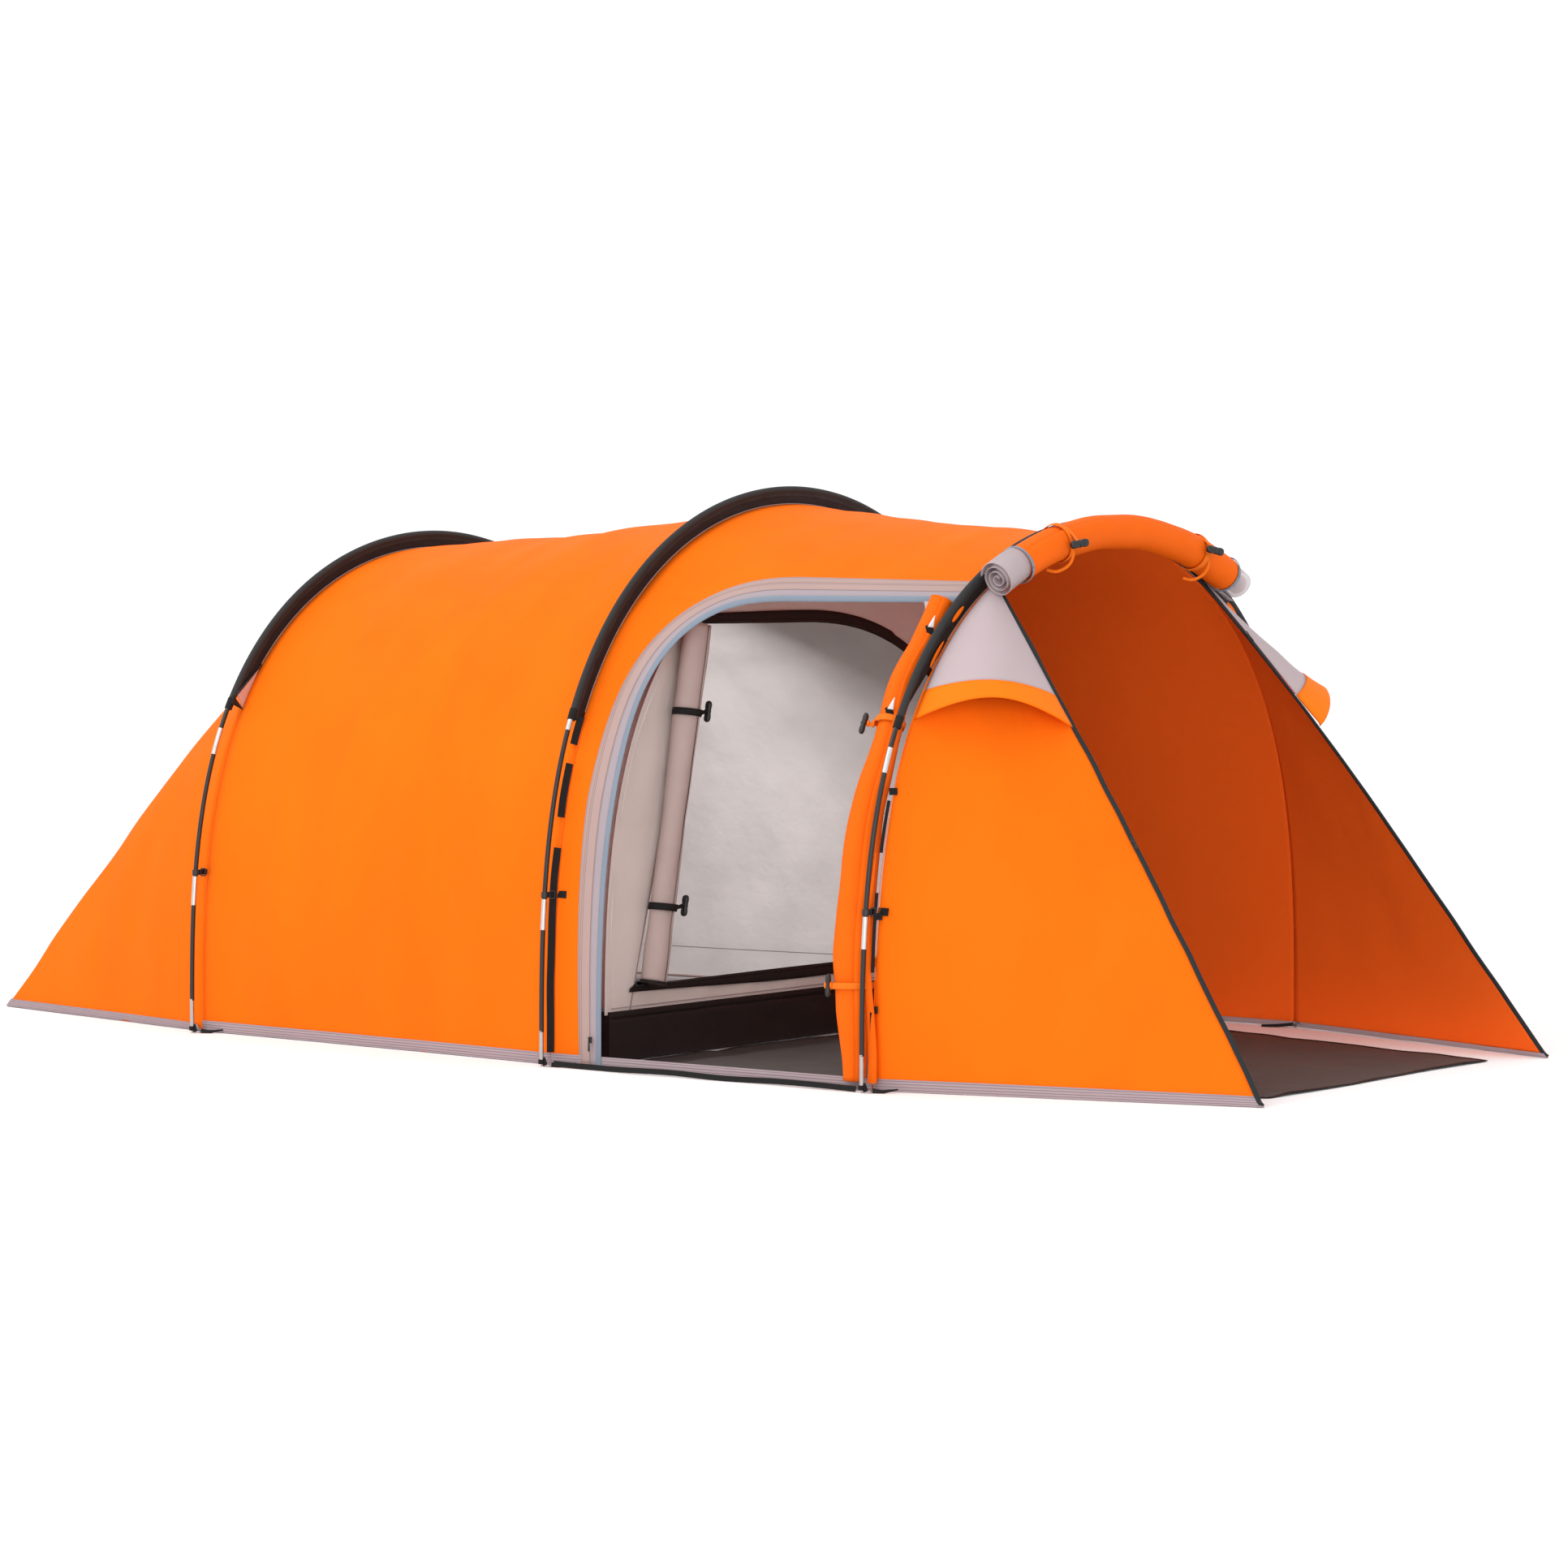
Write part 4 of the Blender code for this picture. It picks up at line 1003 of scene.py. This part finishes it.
def build_awning_straps():
    """Each strap goes round the roll, up to its toggle, and on in a tail that hangs in a loop."""
    for node in ("awning_near", "awning_far"):
        box_low, box_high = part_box(f"strap_{node}")
        y = (box_low.y + box_high.y) / 2
        centre = awning_centre(np.array([y]))[0]
        ahead = unit(np.array([0, 1, -2 * AWNING_DROP * y]))
        strap_round(f"strap_{node}_band", centre, ahead, 0.0516, 0.020, *ORANGE_TAPE,
                    replaces=[f"strap_{node}"])
        place, deep = build_toggle(node, lean=0.35)
        tail = curve(centre + (0.047, 0.0, -0.010), centre + (0.045, 0.010, -0.032),
                     centre + (0.034, 0.004, -0.058), centre + (0.012, -0.016, -0.074),
                     centre + (-0.010, -0.034, -0.070), count=26)
        tape(f"strap_{node}_tail", tail, (0.9, -0.5, 0.1), 0.008, *ORANGE_TAPE)
        up = curve(centre + (0.020, 0, 0.046), centre + (0.038, 0, 0.034),
                   place + (0.0, 0, 0.004) - deep * 0.002, count=12)
        tape(f"strap_{node}_keeper", up, (0.7, 0, 0.7), 0.013, *ORANGE_TAPE)


def build_side_roll():
    low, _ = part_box("side_door_roll")
    z = np.linspace(low.z - 0.012, 1.232, 110)
    path = side_roll_centre(z)
    path = path + wobble(path, 0.007, (1, 1, 0.22), 41) * np.array([1, 0.4, 0])
    stretch = (side_roll_radius(z) / 0.0372)[:, None, None]
    roll = rolled("side_roll_cloth", path, (1, 0, 0), 0.007, 0.0372, 5, *ROLLED, 0.0013, start=2.4,
                  uneven=0.07, seed=43, stretch=stretch, replaces=["side_door_roll"])
    # The door's free edge hangs as one narrow fold beside the roll.
    z = np.linspace(low.z - 0.014, 0.60, 60)
    share = np.linspace(0, 1, 60)
    route = side_roll_centre(z) + np.array([0.060, -0.008, 0.0])
    route[:, 0] += -0.010 * share + 0.004 * np.sin(share * 8)
    taper = np.interp(share, [0, 0.2, 0.7, 1], [1.0, 0.9, 0.55, 0.12])
    oval = circle(0.0125, 20, 0.6) * taper[:, None, None]
    fold = sweep("side_door_fold", route, oval, (0.3, -1, 0), [M["orange_roll"]], "fly_orange")
    pieces = [fold]
    for number, (z_at, lean) in enumerate(((1.158, 0.002), (0.952, -0.010))):
        pieces += side_tag(number, z_at, lean)
    build_side_straps()


def build_side_straps():
    """Each strap goes round the roll and ends in two knots and a toggle."""
    for name in ("side_upper", "side_lower"):
        z_at = JOINTS[f"toggle_{name}"]["pos_m"][2]
        centre, ahead = roll_at(side_roll_centre, z_at)
        reach = float(side_roll_radius(z_at)) + 0.0025
        strap_round(f"strap_{name}_band", centre, ahead, reach, 0.017, *ORANGE_TAPE,
                    lumps=0.0014, replaces=[f"strap_{name}"])
        place, _ = build_toggle(name)
        out = unit(place - centre)
        tail = curve(centre + out * reach, mix(centre, place, 0.75) - ahead * 0.004, place - out * 0.003,
                     count=12)
        tape(f"strap_{name}_tail", tail, np.cross(out, ahead), 0.010, *ORANGE_TAPE)
        for number, (shift, size) in enumerate(((0.002, 0.0075), (0.016, 0.0050))):
            knot = centre + out * (reach + shift)
            turn = circle(size, 24)
            loop = knot + turn[:, :1] * ahead + turn[:, 1:] * np.cross(out, ahead)
            closed_tube(f"strap_{name}_knot_{number}", loop, 0.0036, out, *ORANGE_TAPE)


def side_tag(number, z_at, lean):
    """A black webbing tab on the roll, with a pale corner standing out of it."""
    out, across, up = np.array([0.6, -0.8, 0.0]), np.array([0.8, 0.6, 0.0]), np.array([0.0, 0.0, 1.0])
    centre, _ = roll_at(side_roll_centre, z_at)
    place = centre + out * (float(side_roll_radius(z_at)) + 0.003) + across * lean
    run = line(place - up * 0.013 + across * 0.003, place + up * 0.011 - across * 0.003, count=4)
    tab = tape(f"side_tag_{number}", run, out, 0.019, *WEBBING, thickness=0.0045)
    base = place + out * 0.004 + up * 0.006
    label = triangle(f"side_tag_label_{number}", base - across * 0.006, base + across * 0.010 - up * 0.002,
                     base + across * 0.013 + up * 0.030, [M["inner"]], "hood_pale")
    return [tab, label]


def build_inner_roll():
    low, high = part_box("inner_door_roll")
    z = np.linspace(low.z - 0.026, high.z - 0.006, 74)
    path = inner_roll_centre(z)
    path = path + wobble(path, 0.004, (1, 1, 0.3), 51) * np.array([0.6, 1, 0])
    share = np.linspace(0, 1, len(z))[:, None]
    path = path + share * np.array([0.006, 0.0, 0.0])
    stretch = np.stack([mix(1.38, 1.54, share), mix(1.14, 1.16, share)], axis=-1)
    roll = rolled("inner_roll_cloth", path, (1, 0, 0), 0.004, 0.0278, 8, [M["inner_roll"]],
                  "inner_fabric", 0.0006, start=1.2, uneven=0.07, seed=53, stretch=stretch,
                  replaces=["inner_door_roll"])
    oval = circle(0.0392, 28, 0.84, 0.9)
    foot = inner_roll_centre(z[0] + np.linspace(-0.004, 0.004, 3))
    hem_end = sweep("inner_roll_hem", foot, oval, (1, 0, 0), [M["tub"]], "inner_fabric")
    for name in ("inner_upper", "inner_lower"):
        z_at = JOINTS[f"toggle_{name}"]["pos_m"][2]
        centre, ahead = roll_at(inner_roll_centre, z_at)
        band = strap_round(f"strap_{name}_band", np.zeros(3), ahead, 0.0300, 0.019, *WEBBING,
                           replaces=[f"strap_{name}"])
        share = (z_at - z[0]) / (z[-1] - z[0])
        wide, deep_by = mix(1.41, 1.57, share), mix(1.18, 1.20, share)
        spots = np.array([vertex.co for vertex in band.data.vertices]) * (deep_by, wide, 1)
        centre = centre + np.array([0.006 * share, 0, 0])
        band.data.vertices.foreach_set("co", (spots + centre).ravel())
        place, _ = build_toggle(name)
        out = unit(place - centre)
        tail = curve(centre + out * 0.032, mix(centre, place, 0.7) - ahead * 0.003,
                     place - out * 0.0075, count=10)
        tape(f"strap_{name}_tail", tail, np.cross(out, ahead), 0.011, *WEBBING, thickness=0.0022)


# ---------------------------------------------------------------- bedroom
def tub_plan():
    half = np.array([(INNER_X + 0.005, 0.940), (REAR.x, 0.905), (TUB_REAR[0], TUB_REAR[1])])
    return np.concatenate([half, half[::-1] * (1, -1)])


def build_tub():
    """One coated sheet: a flat floor whose edges turn up into walls."""
    plan = tub_plan()
    rim = np.array([mix(a, b, t) for a, b in zip(plan, np.roll(plan, -1, axis=0))
                    for t in np.linspace(0, 1, 40)[:-1]])
    middle = np.array([-0.75, 0.0])
    rows = []
    for share in (0.0004, 0.2, 0.4, 0.6, 0.8, 0.93, 0.985):
        rows.append(np.concatenate([mix(middle, rim, share), np.full((len(rim), 1), 0.0018)], axis=1))
    for z in (0.006, 0.020, 0.045, 0.075, 0.105, TUB_TALL):
        rows.append(np.concatenate([mix(middle, rim, 1.0 - 0.002), np.full((len(rim), 1), z)], axis=1))
    points = np.array(rows)
    wall = (np.clip((points[..., 2:] - 0.004) / 0.05, 0, 1)
            * np.clip((TUB_TALL - points[..., 2:]) / 0.05 + 0.35, 0, 1))
    away = unit(points * (1, 1, 0) - np.array([middle[0], middle[1], 0]))
    points = points + away * wall * wobble(points, 0.008, (0.12, 0.12, 0.08), 61)
    floor = np.clip(1 - points[..., 2] / 0.003, 0, 1)
    points[..., 2] += floor * np.abs(wobble(points, 0.006, (0.2, 0.2, 1), 62)[..., 0])
    tub = build("tub_cloth", points, *FLOOR, ring=True, thickness=INNER_CLOTH, replaces=["tub_floor"])
    for polygon in tub.data.polygons:
        polygon.use_smooth = True
    band = []
    for rise in (-0.010, -0.004, 0.003, 0.008):
        height = np.full((len(rim), 1), TUB_TALL + rise)
        band.append(np.concatenate([mix(middle, rim, 1.0005), height], axis=1))
    seam = build("tub_seam_tape", np.stack(band, axis=0), *FLOOR, ring=True, thickness=FLY_CLOTH)


def build_inner_tent():
    base = TUB_TALL + 0.001
    rear_height = REAR.height - INNER_INSET
    start, ridge = s_at(rear_height, base), s_at(rear_height, 0.95)
    bend = (ridge - start) / (1 - 2 * start)
    t = np.unique(np.round(np.concatenate([np.linspace(0, 1, 131), [0.0008, 0.9992, bend]]), 6))
    s = mix(start, 1 - start, t)
    rows = []
    for share in np.linspace(0, 1, 30):
        slack = 4 * share * (1 - share)
        height = mix(MID.height, REAR.height, share) - INNER_INSET - 0.02 * slack
        half_width = mix(MID.half_width, REAR.half_width, share) - INNER_INSET - 0.012 * slack
        rows.append(arch(mix(INNER_X - 0.003, REAR.x, share), half_width, height, s))
    foot_y = rows[-1][-1][1]
    stops = np.array([0, bend, 1 - bend, 1])
    ends = np.array([(REAR.x, -foot_y, base), (TUB_REAR[0], -TUB_REAR[1], base),
                     (TUB_REAR[0], TUB_REAR[1], base), (REAR.x, foot_y, base)])
    low = np.stack([np.interp(t, stops, ends[:, k]) for k in range(3)], axis=1)
    rows += [mix(rows[29], low, share) for share in (*np.linspace(0, 1, 26)[1:-1], 0.996, 1.0)]
    points = np.array(rows)
    out = outward(points, (-0.6, 0, 0.3))
    free = np.clip(np.minimum(t, 1 - t) * 14, 0.3, 1)[None, :, None]
    inset = 0.018 + 0.022 * np.clip((0.35 - points[..., 2:]) / 0.2, 0, 1)
    slack = wobble(points, 0.012, (0.30, 0.30, 0.45), 71) + wobble(points, 0.007, (0.13, 0.13, 0.22), 72)
    points = points + out * (free * slack - inset)
    points = clamp(points, base)
    tent = build("inner_tent_cloth", points, *INNER, thickness=INNER_CLOTH, centre=(-0.6, 0, 0.3),
                 replaces=["inner_tent"])
    foot = np.concatenate([points[1:, 0], points[-1, 1:], points[-2:0:-1, -1]])
    skirt = []
    for drop, inward in ((-0.003, -0.0005), (-0.001, -0.0005), (0.030, 0.001), (0.060, 0.002),
                         (0.090, 0.004), (0.118, 0.008)):
        row = mix(foot, np.array([-0.75, 0.0, base]), inward)
        skirt.append(row - (0, 0, drop))
    lining = build("inner_tent_lining", np.stack(skirt, axis=1), *INNER, thickness=INNER_CLOTH)
    cord = sweep("inner_tent_seam", skirt[-2], circle(0.0035, 8), (0, 0, 1), *INNER_SEAM)


# The inner door's outline in (y, z). Every ray from its middle crosses it once.
DOORWAY_MIDDLE = np.array([-0.10, 0.62])
DOORWAY_LOW = [(-0.830, 0.200), (0.600, 0.200), (0.720, 0.340)]
HINGE_TOP = (-0.557, 1.165)


def inner_door(angle):
    """The D-shaped doorway's outline as distances from its middle at each angle, in (y, z)."""
    bend = [(-0.100 + 0.820 * math.cos(turn) ** 0.87, 0.500 + 0.665 * math.sin(turn) ** 0.87)
            for turn in np.linspace(0, math.pi / 2, 30)]
    outline = np.array([*DOORWAY_LOW, *bend, HINGE_TOP, DOORWAY_LOW[0]])
    middle = DOORWAY_MIDDLE
    hits = []
    for a in angle:
        ray = np.array([math.cos(a), math.sin(a)])
        best = 0.0
        for p, q in zip(outline, outline[1:]):
            edge = q - p
            bottom = ray[0] * edge[1] - ray[1] * edge[0]
            if abs(bottom) < 1e-9:
                continue
            offset = p - middle
            reach = (offset[0] * edge[1] - offset[1] * edge[0]) / bottom
            along = (offset[0] * ray[1] - offset[1] * ray[0]) / bottom
            if reach > 0 and -1e-6 <= along <= 1 + 1e-6:
                best = max(best, reach)
        hits.append(middle + ray * best)
    return np.array(hits)


def build_inner_front():
    base = TUB_TALL
    height, half_width = MID.height - INNER_INSET, MID.half_width - INNER_INSET
    middle = DOORWAY_MIDDLE
    foot_y = half_width * math.sqrt(1 - (base / height) ** 3)
    corners = [*DOORWAY_LOW, HINGE_TOP, (-0.1, 1.165), (-foot_y, base), (foot_y, base)]
    angle = np.concatenate([np.linspace(-math.pi, math.pi, 220, endpoint=False),
                            [math.atan2(z - middle[1], y - middle[0]) for y, z in corners]])
    angle = np.unique(np.round(angle, 5))
    opening = inner_door(angle)
    rim = []
    for a in angle:
        ray = np.array([math.cos(a), math.sin(a)])
        low, high = 0.0, 3.0
        for _ in range(40):
            reach = (low + high) / 2
            y, z = middle + ray * reach
            inside = (z > base and abs(y) < half_width
                      and (y / half_width) ** 2 + (max(z, 0) / height) ** 3 < 1)
            low, high = (reach, high) if inside else (low, reach)
        rim.append(middle + ray * low)
    rim = np.array(rim)
    rows = []
    for share in (0, 0.06, 0.14, 0.25, 0.38, 0.52, 0.66, 0.80, 0.92, 1.0):
        spot = mix(opening, rim, share)
        rows.append(np.stack([np.full(len(angle), INNER_X), spot[:, 0], spot[:, 1]], axis=1))
    points = np.array(rows)
    free = np.array([0, 0.15, 0.5, 1, 1, 1, 1, 0.8, 0.4, 0])[:, None]
    points[..., 0] -= free * np.abs(wobble(points, 0.012, (1, 0.18, 0.22), 75)[..., 0])
    wall = build("inner_wall_cloth", points, [M["inner_wall"]], "inner_fabric", ring=True,
                 thickness=INNER_CLOTH, replaces=["inner_front_wall"])
    # The zip runs round the doorway except along its hinge side, on a wide dark tape.
    zipped = ~((opening[:, 0] < -0.56) & (opening[:, 1] > 0.23))
    away = unit(rim - opening)
    width = np.where((opening[:, 1] < 0.21) | (opening[:, 1] > 1.10), 0.030, 0.025)
    band = []
    for t in np.linspace(-0.15, 1, 6):
        spot = opening + away * (width * t)[:, None]
        x = INNER_X + 0.0042 + 0.0012 * math.sin(math.pi * max(t, 0))
        band.append(np.stack([np.full(len(angle), x), spot[:, 0], spot[:, 1]], axis=1))
    first = int(np.argmax(zipped & ~np.roll(zipped, 1)))
    sequence = [k for k in np.roll(np.arange(len(angle)), -first) if zipped[k]]
    points_band = np.array(band)[:, sequence]
    tape_piece = build("inner_zip_tape", points_band, [M["tub"]], "webbing", thickness=0.0016)
    teeth = points_band[1] + (0.0022, 0, 0)
    coil = sweep("inner_zip_coil", teeth, circle(0.0019, 8), (1, 0, 0), *ZIP_METAL)
    hinge = line((INNER_X + 0.002, -0.852, 0.135), (INNER_X + 0.002, -0.566, 1.175), count=30)
    seam = sweep("inner_hinge_seam", hinge, circle(0.0016, 8), (1, 0, 0), *INNER_SEAM)
    stitched = line((INNER_X + 0.0035, -0.93, 0.146), (INNER_X + 0.0035, 0.90, 0.146), count=40)
    strip = sweep("inner_wall_stitching", stitched, circle(0.0013, 6), (1, 0, 0), [M["trim_grey"]],
                  "inner_fabric")


def build_groundsheet():
    low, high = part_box("porch_groundsheet")
    x = np.linspace(low.x, high.x, 60)[:, None]
    t = np.linspace(-1, 1, 60)[None, :]
    share = (x - low.x) / (high.x - low.x)
    half = mix(high.y, 0.545, share)
    half = half + 0.006 * np.sin(x * 17) + 0.001 * np.sin(x * 41)
    y = half * t
    reach = np.broadcast_to(x, y.shape) - 0.012 * share * (1 + np.sin(7 * y)) * 0.5
    points = np.stack([reach, y, np.full_like(y, 0.0012)], axis=-1)
    edge = np.clip((1 - np.abs(t)) * 6, 0.2, 1)
    points[..., 2] += edge * np.abs(wobble(points, 0.010, (0.2, 0.2, 1), 81)[..., 0])
    ground = build("groundsheet_cloth", points, [M["groundsheet"]], "groundsheet_brown",
                   thickness=INNER_CLOTH, replaces=["porch_groundsheet"])
    for name, line_points in (("front", points[-1]), ("near", points[:, 0]), ("far", points[:, -1])):
        tape(f"groundsheet_binding_{name}", line_points + (0, 0, 0.0012), (0, 0, 1), 0.012,
                           [M["tub"]], "groundsheet_brown")


# ---------------------------------------------------------------- webbing and zips
def build_webbing():
    for side_name, side in SIDES.items():
        low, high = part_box(f"ground_strap_{side_name}")
        x = np.linspace(low.x, high.x, 50)
        mid_y, front_y = (side * (hoop.half_width - POLE_INSET) for hoop in (MID, FRONT))
        wave = 0.004 * np.sin(x * 9) + 0.003 * np.sin(x * 23)
        path = np.stack([x, np.interp(x, [MID.x, FRONT.x], [mid_y, front_y]) + wave,
                         0.0092 + 0.0016 * np.sin(x * 14)], axis=1)
        tape(f"ground_strap_{side_name}_web", path, (0, side, 0.3), 0.015, *WEBBING,
             thickness=0.0022, replaces=[f"ground_strap_{side_name}"])
        strips = (("top", 0.846, SLEEVE_END_Z - 0.008), ("upper", 0.655, 0.796), ("lower", 0.035, 0.575))
        for part, bottom, top in strips:
            z = np.linspace(bottom, top, 30)
            strip = at_height(MID, 0.036, z, side, 0.006)
            strip = strip + wobble(strip, 0.003, (1, 1, 0.12), 91) * np.array([1.0, 0, 0])
            tape(f"pole_web_{part}_{side_name}", strip, (1, 0.75 * side, 0), 0.020, *WEBBING)
        for part, bottom, top in (("low", 0.055, 0.20), ("high", 0.30, 0.50), ("top", 0.60, 0.73)):
            strip = at_height(FRONT, 0.034, np.linspace(bottom, top, 14), side, 0.010)
            tape(f"front_web_{part}_{side_name}", strip, (1, 0.7 * side, 0), 0.009, *WEBBING)
        for number, z_at in enumerate((0.205, 0.440, 0.752)):
            edge = wing_grid(side, np.array([z_at / EDGE_TOP[2]]), np.array([0.0, 0.06]))[0]
            run = unit(edge[1] - edge[0])
            middle = edge[0] + np.array([0, side * 0.005, 0])
            strip = line(middle - run * 0.010, middle + run * 0.011, count=4)
            tape(f"wing_clip_{number}_{side_name}", strip, (0.35, side, 0), 0.018, *WEBBING,
                 thickness=0.0040)


def build_slider(name):
    """A zip slider with its bridge, and the pull that hangs from it."""
    centre, (along, across, deep), (length, width, depth) = toggle_axes(f"zip_slider_{name}")
    pull_centre, (hang, _, pull_deep), (pull_length, pull_width, _) = toggle_axes(f"zip_pull_{name}")
    out = unit(pull_centre - centre - along * ((pull_centre - centre) @ along))
    t = np.linspace(-1, 1, 13)
    waist = 0.86 + 0.14 * np.abs(t)
    profile = waist[:, None, None] * circle(width / 2, 24, depth / width, 0.55)[None]
    path = centre + along * (t * length / 2)[:, None]
    sweep(f"slider_{name}", path, profile, out, *ZIP_METAL, body=f"zip_slider_{name}",
          replaces=[f"zip_slider_{name}"])
    arc = np.linspace(0, math.pi, 16)
    bridge = centre + out * (depth * 0.35) + along * (np.cos(arc) * length * 0.34)[:, None] + out * (
        np.sin(arc) * 0.0032)[:, None]
    sweep(f"slider_bridge_{name}", bridge, circle(0.0011, 8), np.cross(along, out), *ZIP_METAL,
          body=f"zip_slider_{name}")
    t = np.linspace(-1, 1, 25)
    taper = np.interp(t, [-1, -0.8, -0.2, 0.75, 1], [0.42, 0.62, 0.72, 1.0, 0.72])
    if (pull_centre - centre) @ hang < 0:
        hang = -hang
    flat = circle(pull_width / 2, 20, 0.34, 0.7)
    path = pull_centre + hang * (t * pull_length / 2)[:, None]
    sweep(f"pull_{name}", path, taper[:, None, None] * flat[None], pull_deep, *PLASTIC,
          body=f"zip_pull_{name}", replaces=[f"zip_pull_{name}"])


build_bedroom_fly()
build_rear_fly()
build_porch_fly()
for position, hoop in HOOPS.items():
    build_hoop(position, hoop)
    for side_name, side in SIDES.items():
        build_foot(position, side_name, side)
for side_name, side in SIDES.items():
    build_wing(side_name, side)
    build_hood(side_name, side)
build_awning()
build_side_roll()
build_inner_roll()
build_tub()
build_inner_tent()
build_inner_front()
build_groundsheet()
build_webbing()
for name in ("front_near", "front_far", "side_door", "inner_door"):
    build_slider(name)

# The foot tubes keep the CAD's shape.
for piece in (node for node in frame["nodes"].values() if node.name.startswith("foot_tube")):
    piece.data.materials.clear()
    piece.data.materials.append(M["steel"])

# ---------------------------------------------------------------- floor, light and camera
floor_mesh = bpy.data.meshes.new("studio_floor")
reach, level = 60.0, -0.0004
corners = [(-reach, -reach, level), (reach, -reach, level), (reach, reach, level), (-reach, reach, level)]
floor_mesh.from_pydata(corners, [], [(0, 1, 2, 3)])
studio_floor = bpy.data.objects.new("studio_floor", floor_mesh)
bpy.context.scene.collection.objects.link(studio_floor)
paper = Surface("studio_paper", 0.9)
paper.colour(paper.blend(paper.noise(paper.place, 2.0), (0.93, 0.93, 0.93, 1), (0.95, 0.95, 0.95, 1)))
floor_mesh.materials.append(paper.material)


def lamp(name, place, target, size, watts):
    light = bpy.data.lights.new(name, "AREA")
    light.size = size
    light.energy = watts
    made = bpy.data.objects.new(name, light)
    bpy.context.scene.collection.objects.link(made)
    made.location = place
    made.rotation_mode = "QUATERNION"
    made.rotation_quaternion = (Vector(target) - Vector(place)).to_track_quat("-Z", "Y")


lamp("key", (-2.0, -4.5, 7.0), (0, 0, 0.5), 5.0, 242)
lamp("fill", (7.0, -9.0, 3.0), (0.6, 0, 0.6), 4.0, 205)
lamp("bedroom_glow", (-0.35, 0.0, 1.08), (-0.9, 0.1, 0.2), 0.34, 11.5)

world = bpy.data.worlds.new("studio")
bpy.context.scene.world = world
world.use_nodes = True
world.node_tree.nodes["Background"].inputs["Color"].default_value = (1, 1, 1, 1)
world.node_tree.nodes["Background"].inputs["Strength"].default_value = 1.1

YAW, PITCH = math.radians(127.7993), math.radians(-2.8112)
camera = bpy.data.objects.new("camera", bpy.data.cameras.new("camera"))
bpy.context.scene.collection.objects.link(camera)
camera.location = (8.2197, -10.4283, 1.3505)
ahead = Vector((math.cos(PITCH) * math.cos(YAW), math.cos(PITCH) * math.sin(YAW), math.sin(PITCH)))
camera.rotation_mode = "QUATERNION"
camera.rotation_quaternion = ahead.to_track_quat("-Z", "Y")
camera.data.sensor_width = 36.0
camera.data.lens = 107.61
camera.data.clip_start, camera.data.clip_end = 0.1, 400.0
bpy.context.scene.camera = camera
bpy.context.scene.view_settings.view_transform = "Standard"
bpy.context.scene.view_settings.look = "None"
